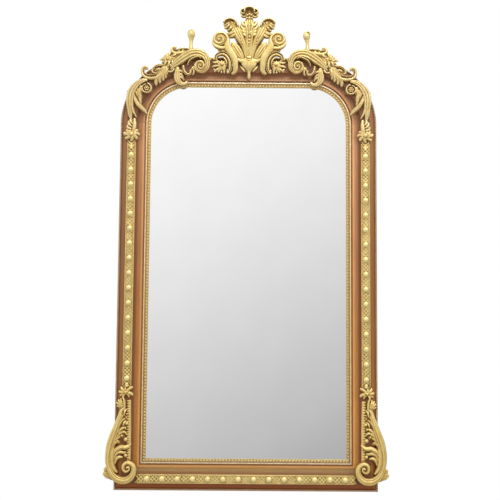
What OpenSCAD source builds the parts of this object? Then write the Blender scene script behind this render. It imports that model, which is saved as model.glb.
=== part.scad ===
// Tall wall mirror with a wooden moulding, rounded top corners and a gilded carved crest.
// Every piece is drawn in elevation: x across, y up from the bottom edge of the frame, z out
// from the wall. placed() stands the drawing up and puts the origin midway between the hangers.

/* [Frame] */
// Width of the frame over its outer edges
frame_w = 1040; // [1010:5:1300]
// Height of the frame from its bottom edge to the top of the moulding
frame_h = 1740; // [1200:5:2200]
// Outer radius of the rounded top corners
corner_r = 276; // [264:2:300]

/* [Moulding widths from the outer edge inwards] */
// Width of the rounded bead on the outer edge
edge_w = 7; // [4:0.5:9]
// Width of the rising brown band
outer_band_w = 23; // [16:1:26]
// Width of the flat seat that carries the ornament
seat_w = 35; // [32:1:44]
// Width of the dark cove
cove_w = 13; // [10:1:18]
// Width of the copper-coloured ogee
ogee_w = 21; // [16:1:26]
// Width of the quirk beside the gilt slip
quirk_w = 5; // [3:0.5:7]

/* [Moulding heights from the wall] */
// Height of the outer bead
edge_z = 36; // [30:1:40]
// Height of the ornament seat, the highest wooden surface
seat_z = 46; // [42:1:56]
// Height of the bottom of the cove
cove_z = 33; // [31:0.5:36]
// Height of the top of the ogee
ogee_z = 41; // [38:0.5:44]
// Height of the floor of the quirk
quirk_z = 33; // [30:0.5:36]

/* [Gilt slip] */
// Width of the bright fillet of the slip
fillet_w = 6; // [4:0.5:8]
// Width of the patterned band of the slip
leaf_band_w = 14; // [10:1:18]
// Height of the fillet above the back of the slip
fillet_h = 10; // [8:0.5:12]
// Height of the patterned band where it meets the fillet
leaf_band_h = 7; // [5:0.5:8]
// Height of the slip at the sight edge
sight_h = 3; // [2:0.5:4]

/* [Glass and back] */
// Thickness of the mirror glass
glass_t = 4; // [3:0.5:6]
// Height of the front face of the glass above the wall
glass_front_z = 28; // [26:0.5:30]
// How far the slip covers the edge of the glass
glass_lap = 9; // [6:0.5:11]
// Thickness of the backing board
board_t = 6; // [4:0.5:8]
// Set-back of the backing board from the wall plane
board_setback = 3; // [2:0.5:4]
// Width of the step that the backing board is screwed to
board_step = 20; // [16:1:26]
// Clearance around the glass and the backing board in their rebates
rebate_gap = 1; // [0.5:0.25:2]
// Length of one glazing block
block_len = 60; // [40:5:90]
// Width of one glazing block across the rebate
block_w = 12; // [8:1:16]
// Number of glazing blocks along each side
side_blocks = 4; // [2:1:6]
// Number of glazing blocks along the bottom
bottom_blocks = 3; // [2:1:5]
// Number of glazing blocks along the top
top_blocks = 2; // [1:1:3]

/* [Joinery] */
// Radius of a dowel
dowel_r = 4; // [3:0.5:5]
// Length of a dowel
dowel_len = 50; // [30:2:60]
// Clearance round a dowel and a mitre key
joint_gap = 0.1; // [0.05:0.05:0.3]
// Leg of the three-cornered key let into each bottom mitre
key_leg = 54; // [30:2:70]
// Thickness of a mitre key
key_t = 4; // [3:0.5:6]
// Height of a mitre key above the wall
key_z = 14; // [10:1:20]

/* [Hangers] */
// Gap between the corner joint and the top of the hanger plates below it
hanger_gap = 12; // [6:1:600]
// Distance of the hangers in from the outer edge
hang_inset = 50; // [40:1:60]
// Length of a hanger plate
plate_l = 92; // [80:2:120]
// Width of a hanger plate
plate_w = 28; // [24:1:34]
// Thickness of a hanger plate
plate_t = 2; // [1.5:0.5:3]
// Radius of the round entry for a screw head
entry_r = 6; // [5:0.5:7]
// Width of the slot that grips the screw shank
slot_w = 6; // [4:0.5:7]
// Length of the slot above the entry
slot_l = 22; // [16:1:26]
// Depth of the pocket behind the plate for the screw head
pocket_depth = 12; // [8:1:16]

/* [Screws] */
// Radius of the backing and hanger screws
screw_r = 1.75; // [1.5:0.25:2.5]
// Radius of their countersunk heads
head_r = 3.5; // [3:0.25:4]
// Length of the backing screws
backing_screw_len = 17; // [12:1:19]
// Spacing of the backing screws
backing_screw_pitch = 240; // [150:10:400]
// Length of the hanger screws
hanger_screw_len = 22; // [14:1:28]
// Radius of the crest screws
crest_screw_r = 2.5; // [2:0.25:3]
// Length of the crest screws
crest_screw_len = 30; // [24:1:36]

/* [Pearl bands] */
// Radius of one pearl
pearl_r = 11.5; // [8:0.5:13]
// Distance from pearl to pearl
pearl_pitch = 60.5; // [40:0.5:80]
// Thickness of the band under the pearls
band_t = 5; // [3:0.5:7]
// Width of the raised line along each edge of the band
band_lip_w = 4; // [3:0.5:5]
// Height of the raised line above the band
band_lip_h = 4; // [2:0.5:5]
// Bottom end of the upright bands above the bottom edge
band_low = 408; // [380:2:500]
// Gap between the top of the upright bands and the corner joint
band_drop = 82; // [78:1:120]
// Distance of the ends of the bottom band in from the outer edges
band_inset = 110; // [102:2:220]

/* [Crest board] */
// Thickness of the pierced board behind the crest
crest_board_t = 28; // [20:1:34]
// Width of the middle bar of the crest board
crest_bar_w = 40; // [30:1:50]
// Height of the middle bar above the frame
crest_bar_h = 148; // [120:2:170]
// Width of the bars behind the side plumes
plume_bar_w = 22; // [16:1:30]
// Width of the bars behind the volutes
volute_bar_w = 16; // [12:1:22]
// Width of the foot that joins the bars along the top of the frame
crest_foot_w = 104; // [90:2:120]
// Height of that foot
crest_foot_h = 14; // [10:1:20]
// Width of the batten that ties the crest board to the top rail
batten_w = 44; // [30:1:60]
// Height of the batten above the frame
batten_up = 120; // [80:2:140]
// Length of the batten let into the top rail
batten_down = 82; // [60:1:86]

/* [Ornament] */
// Half width of the wing scroll band
wing_hw = 18; // [8:0.5:19]
// Relief of the wing scroll
wing_h = 22; // [14:1:30]
// Half width of the bracket scroll band
bracket_hw = 13; // [9:0.5:14]
// Relief of the bracket scroll
bracket_h = 26; // [16:1:34]
// Half width of the crest volute band
volute_hw = 12; // [8:0.5:13]
// Relief of the crest volute
volute_h = 24; // [14:1:32]
// Half width of the crest C scroll
c_scroll_hw = 10; // [6:0.5:11]
// Relief of the crest C scroll
c_scroll_h = 20; // [12:1:26]
// Relief of the leaves
leaf_h = 15; // [8:1:22]
// Radius of the star flowers
star_r = 33; // [24:1:36]
// Radius of the crest flowers
flower_r = 31; // [20:1:33]
// Radius of the shoulder rosettes
rosette_r = 14; // [10:0.5:15]
// Radius of the largest bracket berry
berry_r = 8; // [6:0.5:8.5]
// Width of the fluted strip beside the berries
strip_w = 10.5; // [5:0.5:11]
// Height of the middle plume above the frame
plume_len = 207; // [180:1:240]
// Half width of its head
plume_hw = 37; // [28:1:42]
// Length of the side plumes
side_plume_len = 166; // [150:1:190]
// Half width of their heads
side_plume_hw = 26; // [20:1:30]
// Forward reach of the curled plume heads
plume_curl = 30; // [16:1:36]

/* [Hidden] */

walnut = "#8a5a38";
gold = "#d9b25c";
pale_gold = "#e8cf8e";
steel = "#b8b8b4";
pine = "#c9a878";

smooth_fn = 96;
// Positions across the moulding, each counted from the outer edge
seat_d = edge_w + outer_band_w;
cove_d = seat_d + seat_w;
ogee_d = cove_d + cove_w;
quirk_d = ogee_d + ogee_w;
slip_d = quirk_d + quirk_w;
moulding_w = slip_d + fillet_w + leaf_band_w;
seat_mid = seat_d + seat_w / 2;
half_w = frame_w / 2;
glass_d = moulding_w - glass_lap;
rebate_d = glass_d - rebate_gap;
glass_back_z = glass_front_z - glass_t;
board_front_z = board_setback + board_t;
board_rebate_d = rebate_d - board_step;
board_d = board_rebate_d + rebate_gap;
screw_d = (board_d + rebate_d) / 2;
// Centre of the right-hand corner arc
corner_x = half_w - corner_r;
corner_y = frame_h - corner_r;
batten_t = seat_z - crest_board_t;
// The plate reaches this far below the entry hole to its lower round end
plate_drop = (plate_l - plate_w - slot_l) / 2;
// Height of the entry holes of the hangers above the bottom edge
hang_h = corner_y - hanger_gap - (plate_l - plate_w / 2 - plate_drop);

// Curves and sections

function arc_at(a, d) = [corner_x + (corner_r - d) * cos(a), corner_y + (corner_r - d) * sin(a)];
function top_at(x, up) = [x, frame_h + up];
function wing_at(dx, up) = [corner_x + dx, frame_h + up];
function side_at(d, y) = [half_w - d, y];

// Winding curve round c from radius r0 at angle a0 to radius r1 at angle a1
function spiral(c, r0, r1, a0, a1, n) =
  [for (i = [0:n]) let (t = i / n, a = a0 + (a1 - a0) * t, r = r0 + (r1 - r0) * t)
    [c[0] + r * cos(a), c[1] + r * sin(a)]];

// Value list read at t from 0 to 1
function along(v, t) =
  let (m = len(v) - 1, s = min(max(t, 0), 1) * m, i = min(floor(s), m - 1))
  v[i] + (v[i + 1] - v[i]) * (s - i);

// Smooth curve through the given points, with n steps from point to point
function curve(p, n) =
  let (m = len(p) - 1)
  concat([for (i = [0:m - 1], k = [0:n - 1])
    let (t = k / n, a = p[max(i - 1, 0)], b = p[i], c = p[i + 1], d = p[min(i + 2, m)])
    0.5 * (2 * b + (c - a) * t + (2 * a - 5 * b + 4 * c - d) * t * t
      + (3 * b - a - 3 * c + d) * t * t * t)], [p[m]]);

function deep(p) = len(p) == 3 ? p : [p[0], p[1], 0];
function unit(v) = v / max(norm(v), 0.000001);

// Solid swept along a path. Each station has a flat back, two raised shoulders and a hollow
// between them. rake sends the edges forward, so that lobes point along the leaf.
module sweep(path, hw, h, edge = 0.45, shoulder = 0.62, hollow = 0.3, rake = 0, side = undef) {
  n = len(path) - 1;
  pts = [for (i = [0:n])
    let (t = i / n, c = deep(path[i]),
      fwd = unit(deep(path[min(i + 1, n)]) - deep(path[max(i - 1, 0)])),
      flat = unit([fwd[1], -fwd[0], 0]),
      lat = is_undef(side) ? flat : side,
      up = unit(cross(lat, fwd)),
      w = along(hw, t), z = along(h, t), tip = c + fwd * rake * w)
    each [tip - lat * w, tip + lat * w, tip + lat * w + up * z * edge, c + lat * w * shoulder + up * z,
      c + up * z * (1 - hollow), c - lat * w * shoulder + up * z, tip - lat * w + up * z * edge]];
  m = 7;
  sides = [for (i = [0:n - 1], k = [0:m - 1])
    let (a = i * m + k, b = i * m + (k + 1) % m)
    each [[a, b, b + m], [a, b + m, a + m]]];
  start = [for (k = [1:m - 2]) [0, k + 1, k]];
  finish = [for (k = [1:m - 2]) [n * m, n * m + k, n * m + k + 1]];
  polyhedron(pts, concat(sides, start, finish));
}

// Half widths of a lobed leaf: wide at each lobe and drawn in between
function lobed(v, lobes, cut) =
  [for (i = [0:2 * lobes]) along(v, i / (2 * lobes)) * (i % 2 == 1 ? 1 : 1 - cut)];

// Lobed leaf along the curve through p
module leaf(p, v, lobes, h, cut = 0.4, side = undef) {
  sweep(curve(p, max(1, ceil(2 * lobes / (len(p) - 1)))), lobed(v, lobes, cut), h,
    edge = 0.25, shoulder = 0.5, hollow = 0.25, rake = 0.55, side = side);
}

// Pointed lobe from p to q, w wide, with a ridge h high
module lobe(p, q, w, h) {
  d = unit(q - p);
  n = [d[1], -d[0]];
  hull() {
    linear_extrude(h * 0.3)
      polygon([p - n * w * 0.15, p + n * w * 0.15, p + (q - p) * 0.4 + n * w / 2, q,
        p + (q - p) * 0.4 - n * w / 2]);
    translate(p + (q - p) * 0.35) cylinder(r = w * 0.12, h = h, $fn = 4);
  }
}

// Ring of lobes, count of them, between two angles
module lobe_ring(c, r, count, w, h, a0 = 0, span = 360) {
  for (i = [0:count - 1]) {
    a = a0 + span * i / count;
    lobe(c, c + r * [cos(a), sin(a)], w, h);
  }
}

module placed() {
  translate([0, 0, -hang_h]) rotate([90, 0, 0]) children();
}

module on_seat() {
  placed() translate([0, 0, seat_z]) children();
}

// Copies a right-hand piece to the left
module flipped() {
  mirror([1, 0, 0]) children();
}

// Frame members

function wood_profile() = concat(
  [[0, 0], [0, edge_z - edge_w / 2]],
  [for (a = [150:-30:30]) [edge_w / 2 + edge_w / 2 * cos(a), edge_z - edge_w / 2 + edge_w / 2 * sin(a)]],
  [for (i = [0:6]) [edge_w + outer_band_w * i / 6, edge_z - edge_w / 2
    + (seat_z - edge_z + edge_w / 2) * sin(90 * i / 6)]],
  [[cove_d, seat_z]],
  [for (i = [0:6]) [cove_d + cove_w * i / 6, cove_z + (seat_z - 3 - cove_z) * (1 - sin(90 * i / 6))]],
  [for (i = [1:8]) [ogee_d + ogee_w * i / 8, cove_z + (ogee_z - cove_z) * (1 - cos(180 * i / 8)) / 2]],
  [[quirk_d, quirk_z], [slip_d, quirk_z], [slip_d, glass_front_z], [rebate_d, glass_front_z],
    [rebate_d, board_front_z], [board_rebate_d, board_front_z], [board_rebate_d, 0]]);

function slip_profile() = concat(
  [[slip_d, 0], [slip_d, fillet_h - fillet_w / 2]],
  [for (a = [150:-30:0]) [slip_d + fillet_w / 2 + fillet_w / 2 * cos(a),
    fillet_h - fillet_w / 2 + fillet_w / 2 * sin(a)]],
  [[slip_d + fillet_w, leaf_band_h - 1.5], [slip_d + fillet_w + 1, leaf_band_h],
    [moulding_w - 1, sight_h], [moulding_w, sight_h - 1], [moulding_w, 0]]);

// Straight length of moulding, standing on y = 0 with its outer edge at x = 0
module moulding(profile, length) {
  translate([0, length, 0]) rotate([90, 0, 0])
    linear_extrude(length) polygon([for (p = profile) [-p[0], p[1]]]);
}

module bent_moulding(profile) {
  translate([corner_x, corner_y, 0])
    rotate_extrude(angle = 90, $fn = smooth_fn) polygon([for (p = profile) [corner_r - p[0], p[1]]]);
}

// Keeps the part of an upright above the mitre at its foot
module above_mitre() {
  intersection() {
    children();
    translate([0, 0, -1]) linear_extrude(seat_z + 2)
      polygon([[half_w, 0], [half_w, corner_y], [half_w - moulding_w, corner_y],
        [half_w - moulding_w, moulding_w]]);
  }
}

module between_mitres() {
  intersection() {
    children();
    translate([0, 0, -1]) linear_extrude(seat_z + 2)
      polygon([[-half_w, 0], [half_w, 0], [half_w - moulding_w, moulding_w],
        [moulding_w - half_w, moulding_w]]);
  }
}

// Dowels in the two joints of the right-hand corner piece
dowel_places = [[seat_d + dowel_r + 1, 20], [cove_d + cove_w / 2 + dowel_r, 17]];

module dowels(r, length) {
  for (p = dowel_places) {
    translate([half_w - p[0], corner_y, p[1]]) rotate([90, 0, 0])
      cylinder(r = r, h = length, center = true, $fn = 32);
    translate([corner_x, frame_h - p[0], p[1]]) rotate([0, 90, 0])
      cylinder(r = r, h = length, center = true, $fn = 32);
  }
}

// Three-cornered key in the bottom right mitre, or its slot: gap is the clearance all round and
// past is how far the slot runs out of the wood
module mitre_key(gap = 0, past = 0) {
  reach = key_leg + 1.5 * gap + past;
  translate([half_w, 0, key_z - gap]) linear_extrude(key_t + 2 * gap)
    polygon([[past, -past], [past, reach], [-reach, -past]]);
}

// Round slotted hole, r at its ends and length from centre to centre
module slot_2d(r, length) {
  circle(r = r, $fn = 48);
  translate([-r, 0]) square([2 * r, length]);
  translate([0, length]) circle(r = r, $fn = 48);
}

module hanger_recess() {
  translate([half_w - hang_inset, hang_h, -1]) {
    linear_extrude(plate_t + 1) translate([0, -plate_drop])
      slot_2d(plate_w / 2 + joint_gap, plate_l - plate_w);
    linear_extrude(plate_t + pocket_depth + 1) translate([0, -1]) slot_2d(entry_r + 2, slot_l + 3);
    for (y = plate_screw_y) translate([0, y, 0])
      cylinder(r = screw_r, h = hanger_screw_len + 1, $fn = 32);
  }
}

plate_screw_y = [-plate_drop - 2, plate_l - plate_w - plate_drop + 2];

module stile() {
  difference() {
    above_mitre() translate([half_w, 0, 0]) moulding(wood_profile(), corner_y);
    dowels(dowel_r + joint_gap, dowel_len + 1);
    mitre_key(joint_gap, 1);
    hanger_recess();
    backing_screw_holes();
  }
}

module corner_block() {
  difference() {
    bent_moulding(wood_profile());
    dowels(dowel_r + joint_gap, dowel_len + 1);
  }
}

module stile_right() {
  color(walnut) placed() stile();
}

module stile_left() {
  color(walnut) placed() flipped() stile();
}

module corner_right() {
  color(walnut) placed() corner_block();
}

module corner_left() {
  color(walnut) placed() flipped() corner_block();
}

module bottom_rail() {
  color(walnut) placed() difference() {
    between_mitres() translate([-half_w, 0, 0]) rotate(-90) moulding(wood_profile(), frame_w);
    mitre_key(joint_gap, 1);
    flipped() mitre_key(joint_gap, 1);
    backing_screw_holes();
  }
}

module top_rail() {
  color(walnut) placed() difference() {
    translate([corner_x, frame_h, 0]) rotate(90) moulding(wood_profile(), 2 * corner_x);
    dowels(dowel_r + joint_gap, dowel_len + 1);
    flipped() dowels(dowel_r + joint_gap, dowel_len + 1);
    translate([-batten_w / 2 - joint_gap, frame_h - batten_down - joint_gap, -1])
      cube([batten_w + 2 * joint_gap, batten_down + 2, batten_t + 1]);
    crest_screw_shanks();
    backing_screw_holes();
  }
}

module mitre_keys() {
  color(pine) placed() for (s = [0, 1]) mirror([s, 0, 0]) mitre_key();
}

module corner_dowels() {
  color(pine) placed() {
    dowels(dowel_r, dowel_len);
    flipped() dowels(dowel_r, dowel_len);
  }
}

// Gilt slip

module slip_stile() {
  above_mitre() translate([half_w, 0, 0]) moulding(slip_profile(), corner_y);
}

module lifted_slip() {
  placed() translate([0, 0, glass_front_z]) children();
}

module slip_right() {
  color(pale_gold) lifted_slip() slip_stile();
}

module slip_left() {
  color(pale_gold) lifted_slip() flipped() slip_stile();
}

module slip_bottom() {
  color(pale_gold) lifted_slip() between_mitres()
    translate([-half_w, 0, 0]) rotate(-90) moulding(slip_profile(), frame_w);
}

module slip_top() {
  color(pale_gold) lifted_slip()
    translate([corner_x, frame_h, 0]) rotate(90) moulding(slip_profile(), 2 * corner_x);
}

module slip_corner_right() {
  color(pale_gold) lifted_slip() bent_moulding(slip_profile());
}

module slip_corner_left() {
  color(pale_gold) lifted_slip() flipped() bent_moulding(slip_profile());
}

// Glass, board and what holds them

// Outline of the frame, drawn in by d
module arched(d) {
  r = corner_r - d;
  translate([d - half_w, d]) square([frame_w - 2 * d, corner_y - d]);
  translate([-corner_x, corner_y - 1]) square([2 * corner_x, r + 1]);
  for (s = [-1, 1]) translate([s * corner_x, corner_y]) circle(r = r, $fn = smooth_fn);
}

module mirror_glass() {
  color("silver") placed() translate([0, 0, glass_back_z]) linear_extrude(glass_t) arched(glass_d);
}

// Evenly spread places, n of them, from lo to hi
function spread(lo, hi, n) = [for (i = [0:n - 1]) lo + (hi - lo) * (i + 0.5) / n];
function screw_count(span) = max(2, round(span / backing_screw_pitch));

side_screw_y = spread(board_d, corner_y, screw_count(corner_y - board_d));
rail_screw_x = spread(board_d - half_w, half_w - board_d, screw_count(frame_w - 2 * board_d));
top_screw_x = spread(-corner_x, corner_x, 4);

module each_backing_screw() {
  for (s = [-1, 1], y = side_screw_y) translate([s * (half_w - screw_d), y, 0]) children();
  for (x = rail_screw_x) translate([x, screw_d, 0]) children();
  for (x = top_screw_x) translate([x, frame_h - screw_d, 0]) children();
}

module backing_screw_holes() {
  each_backing_screw() cylinder(r = screw_r, h = board_setback + backing_screw_len, $fn = 32);
}

module countersunk_screw(r, head, length) {
  rotate_extrude($fn = 32) polygon([[0, 0], [head, 0], [r, head - r], [r, length], [0, length]]);
}

module backing_board() {
  color(pine) placed() difference() {
    translate([0, 0, board_setback]) linear_extrude(board_t) arched(board_d);
    each_backing_screw() translate([0, 0, board_setback])
      countersunk_screw(screw_r, head_r, board_t + 1);
  }
}

module backing_screws() {
  color(steel) placed() each_backing_screw() translate([0, 0, board_setback])
    countersunk_screw(screw_r, head_r, backing_screw_len);
}

// Block glued in the corner between the back of the glass and the rebate wall
module glazing_block() {
  h = glass_back_z - board_front_z;
  rotate([90, 0, 0]) linear_extrude(block_len, center = true)
    polygon([[0, 0], [0, h], [-block_w, h], [-block_w / 3, 0]]);
}

module glazing_blocks() {
  color(pine) placed() translate([0, 0, board_front_z]) {
    for (y = spread(rebate_d, corner_y, side_blocks)) {
      translate([half_w - rebate_d, y, 0]) glazing_block();
      translate([rebate_d - half_w, y, 0]) rotate(180) glazing_block();
    }
    for (x = spread(rebate_d - half_w, half_w - rebate_d, bottom_blocks))
      translate([x, rebate_d, 0]) rotate(-90) glazing_block();
    for (x = spread(-corner_x, corner_x, top_blocks))
      translate([x, frame_h - rebate_d, 0]) rotate(90) glazing_block();
  }
}

// Hangers

module hanger_plate() {
  difference() {
    linear_extrude(plate_t) difference() {
      translate([0, -plate_drop]) slot_2d(plate_w / 2, plate_l - plate_w);
      circle(r = entry_r, $fn = 64);
      slot_2d(slot_w / 2, slot_l);
    }
    for (y = plate_screw_y) translate([0, y, 0]) countersunk_screw(screw_r, head_r, plate_t + 1);
  }
}

module each_hanger() {
  for (s = [-1, 1]) translate([s * (half_w - hang_inset), hang_h, 0]) children();
}

module hanger_plates() {
  color(steel) placed() each_hanger() hanger_plate();
}

module hanger_screws() {
  color(steel) placed() each_hanger() for (y = plate_screw_y)
    translate([0, y, 0]) countersunk_screw(screw_r, head_r, hanger_screw_len);
}

// Pearl bands

module pearl_band(length) {
  count = floor(length / pearl_pitch);
  first = (length - (count - 1) * pearl_pitch) / 2;
  rotate([90, 0, 180]) linear_extrude(length)
    polygon([[-seat_w / 2, 0], [seat_w / 2, 0], [seat_w / 2, band_t + band_lip_h],
      [seat_w / 2 - band_lip_w, band_t + band_lip_h], [seat_w / 2 - band_lip_w - 1, band_t],
      [band_lip_w + 1 - seat_w / 2, band_t], [band_lip_w - seat_w / 2, band_t + band_lip_h],
      [-seat_w / 2, band_t + band_lip_h]]);
  for (i = [0:count - 1]) translate([0, first + i * pearl_pitch, band_t - 1])
    intersection() {
      sphere(r = pearl_r, $fn = 48);
      translate([-pearl_r, -pearl_r, 0]) cube(2 * pearl_r);
    }
  for (i = [0:count - 2]) translate([0, first + (i + 0.5) * pearl_pitch, 0])
    linear_extrude(band_t + 2.5) polygon([[-seat_w / 2 + band_lip_w + 1.5, 0], [0, -pearl_pitch * 0.24],
      [seat_w / 2 - band_lip_w - 1.5, 0], [0, pearl_pitch * 0.24]]);
}

module upright_band() {
  translate([half_w - seat_mid, band_low, 0]) pearl_band(corner_y - band_drop - band_low);
}

module pearl_band_right() {
  color(gold) on_seat() upright_band();
}

module pearl_band_left() {
  color(gold) on_seat() flipped() upright_band();
}

module pearl_band_bottom() {
  color(gold) on_seat() translate([band_inset - half_w, seat_mid, 0]) rotate(-90)
    pearl_band(frame_w - 2 * band_inset);
}

// Crest

plume_lean = 24;
volute_eye = top_at(120, 69);

// Flat bar from p towards q, as wide as w
module bar_2d(p, q, w) {
  translate(p) rotate(atan2(q[1] - p[1], q[0] - p[0])) translate([0, -w / 2]) square([norm(q - p), w]);
}

module crest_board() {
  color(gold) placed() difference() {
    translate([0, 0, batten_t]) linear_extrude(crest_board_t) {
      translate([-crest_bar_w / 2, frame_h]) square([crest_bar_w, crest_bar_h]);
      translate([-crest_foot_w / 2, frame_h]) square([crest_foot_w, crest_foot_h]);
      for (s = [0, 1]) mirror([s, 0]) {
        intersection() {
          union() {
            bar_2d(top_at(0, -10), top_at(74, 136), plume_bar_w);
            bar_2d(top_at(34, -14), volute_eye, volute_bar_w);
          }
          translate([0, frame_h]) square([half_w, crest_bar_h]);
        }
        translate(volute_eye) circle(r = 22, $fn = 48);
      }
    }
    crest_screw_shanks();
  }
}

module crest_batten() {
  color(pine) placed() difference() {
    translate([-batten_w / 2, frame_h - batten_down, 0]) cube([batten_w, batten_down + batten_up, batten_t]);
    each_crest_screw() countersunk_screw(crest_screw_r, 2 * crest_screw_r, batten_t + 1);
  }
}

crest_screw_y = [-batten_down + 22, -22, 34, batten_up - 24];

module each_crest_screw() {
  for (up = crest_screw_y) translate([0, frame_h + up, 0]) children();
}

module crest_screw_shanks() {
  each_crest_screw() cylinder(r = crest_screw_r, h = crest_screw_len, $fn = 32);
}

module crest_screws() {
  color(steel) placed() each_crest_screw()
    countersunk_screw(crest_screw_r, 2 * crest_screw_r, crest_screw_len);
}

// Curled tip of a plume: it rises, turns over and ends below its own top
module plume_curl_tip(length, hw, curl) {
  sweep(curve([[0, 0.7 * length, 4], [0, 0.84 * length, 9], [0, 0.95 * length, 0.45 * curl],
    [0, length, 0.85 * curl], [0, 0.96 * length, 1.2 * curl], [0, 0.89 * length, 1.1 * curl]], 2),
    hw * [0.5, 0.8, 1, 1, 0.95, 0.8, 0.45], [8, 8, 7, 6, 5, 4],
    edge = 0.35, shoulder = 0.55, hollow = 0.3, side = [1, 0, 0]);
}

// Plume from y = -foot upwards: a fluted stalk, a ruffle of lobes and three curled tips
module plume(length, hw, curl, foot) {
  pivot = 0.72 * length;
  union() {
    sweep(curve([[0, -foot, 0], [0, 0.3 * length, 0], [0, 0.6 * length, 0], [0, 0.9 * length, 0]], 2),
      hw * [0.2, 0.3, 0.45, 0.62, 0.72, 0.62, 0.4], [9, 15, 17, 15, 9],
      edge = 0.3, shoulder = 0.5, hollow = 0.25, side = [1, 0, 0]);
    for (s = [-1, 1], k = [0:3])
      lobe([s * hw * 0.3, length * (0.46 + 0.07 * k)],
        [s * hw * (0.84 + 0.06 * k), length * (0.6 + 0.075 * k)], hw * 0.55, 11 + 2 * k);
    plume_curl_tip(length, 0.52 * hw, curl);
    for (s = [-1, 1]) translate([0, pivot]) rotate(-34 * s) translate([0, -pivot])
      plume_curl_tip(0.96 * length, 0.36 * hw, 0.9 * curl);
  }
}

module crest_plume_center() {
  color(gold) on_seat() translate(top_at(0, 0)) plume(plume_len, plume_hw, plume_curl, 14);
}

// Leaning plume with the small leaf that grows beside it
module side_plume() {
  union() {
    translate(top_at(16, 0)) rotate(-plume_lean)
      plume(side_plume_len, side_plume_hw, plume_curl * 0.8, 4);
    lobe(top_at(30, 4), top_at(70, 66), 18, 11);
  }
}

module crest_plume_right() {
  color(gold) on_seat() side_plume();
}

module crest_plume_left() {
  color(gold) on_seat() flipped() side_plume();
}

module volute_scroll() {
  arm = [top_at(58, -62), top_at(55, -44), top_at(53, -22), top_at(60, 1), top_at(74, 24), top_at(85, 45)];
  path = curve(concat(arm, spiral(volute_eye, 30, 4, 150, -430, 12)), 2);
  sweep(path, volute_hw * [0.5, 0.7, 0.8, 1.05, 1.2, 1.05, 0.75, 0.58, 0.56, 0.54, 0.52, 0.5, 0.46, 0.42,
    0.38, 0.34, 0.3, 0.27, 0.25], volute_h * [0.5, 0.75, 0.9, 0.9, 0.85, 0.85, 0.9, 1, 1]);
}

module crest_volute_right() {
  color(gold) on_seat() volute_scroll();
}

module crest_volute_left() {
  color(gold) on_seat() flipped() volute_scroll();
}

module c_scroll() {
  path = curve([top_at(136, -14), top_at(133, 1), top_at(120, 11), top_at(101, 10), top_at(85, 0),
    top_at(78, -20), top_at(76, -44), top_at(78, -60), top_at(88, -68)], 2);
  sweep(path, c_scroll_hw * [0.45, 0.7, 0.85, 0.85, 0.85, 0.8, 0.75, 0.6, 0.4],
    c_scroll_h * [0.6, 0.8, 1, 1, 1, 0.8, 0.6]);
}

module crest_c_scroll_right() {
  color(gold) on_seat() c_scroll();
}

module crest_c_scroll_left() {
  color(gold) on_seat() flipped() c_scroll();
}

flower_at = top_at(111, -34);

module crest_flower() {
  union() {
    lobe_ring(flower_at, 0.62 * flower_r, 8, 12, 9, 12);
    lobe_ring(flower_at, flower_r, 3, 13, 7, 268, 100);
    translate(flower_at) cylinder(r1 = 6, r2 = 4, h = 13, $fn = 8);
  }
}

module crest_flower_right() {
  color(gold) on_seat() crest_flower();
}

module crest_flower_left() {
  color(gold) on_seat() flipped() crest_flower();
}

module crest_shield() {
  color(gold) on_seat() translate(top_at(0, -64)) {
    linear_extrude(9) polygon([[-7, 0], [7, 0], [25, 22], [32, 38], [20, 37], [9, 46], [0, 41],
      [-9, 46], [-20, 37], [-32, 38], [-25, 22]]);
    linear_extrude(13) polygon([[-5, 4], [5, 4], [19, 22], [23, 33], [0, 36], [-23, 33], [-19, 22]]);
  }
}

// Turned drop that hangs from the foot of the shield
module crest_drop() {
  color(gold) on_seat() intersection() {
    translate(top_at(0, -64)) rotate([90, 0, 0]) rotate_extrude($fn = 32)
      polygon([[0, 0], [6, 0], [6, 3], [4.5, 6], [8, 12], [9.5, 20], [8, 28], [4, 34], [0, 36]]);
    translate(top_at(-10, -110)) cube([20, 60, 12]);
  }
}

// Wings

module wing_scroll() {
  path = curve([for (p = [[66, -41], [44, -25], [19, -7], [-5, 7], [-30, 13], [-54, 8], [-73, -12],
    [-78, -37], [-69, -56], [-52, -62], [-38, -54], [-35, -40], [-43, -29], [-54, -32], [-55, -42]])
    wing_at(p[0], p[1])], 2);
  union() {
    sweep(path, wing_hw * [0.5, 0.95, 1.08, 1.03, 0.95, 0.83, 0.67, 0.56, 0.47, 0.42, 0.36, 0.31, 0.26,
      0.22, 0.17], wing_h * [0.5, 0.8, 1, 1, 1, 0.95, 0.85, 0.8, 0.85, 0.95, 1]);
    sweep(curve([wing_at(2, 19), wing_at(24, 13), wing_at(46, 11), wing_at(61, 17), wing_at(64, 27),
      wing_at(56, 33)], 2), wing_hw * [0.3, 0.4, 0.36, 0.3, 0.26, 0.15], wing_h * [0.6, 0.8, 0.8, 0.6]);
  }
}

module wing_scroll_right() {
  color(gold) on_seat() wing_scroll();
}

module wing_scroll_left() {
  color(gold) on_seat() flipped() wing_scroll();
}

// Stem that stands on a tongue behind the wing scroll
module finial_stem() {
  translate(wing_at(-13.5, 2)) translate([0, 0, -10]) cube([14, 36, 10]);
  translate(concat(wing_at(-6.5, 31), 0)) rotate([-90, 0, 0])
    rotate_extrude($fn = 32) polygon([[0, 0], [9, 0], [7.5, 5], [7, 20], [8, 32], [10.5, 36], [0, 36]]);
}

module wing_finial_left() {
  color(gold) on_seat() flipped() {
    finial_stem();
    translate(concat(wing_at(-6.5, 67), 0)) rotate([-90, 0, 0]) rotate_extrude($fn = 32)
      polygon([[0, 0], [10.5, 0], [14, 10], [15, 23], [13, 35], [7, 43], [0, 46]]);
  }
}

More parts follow.
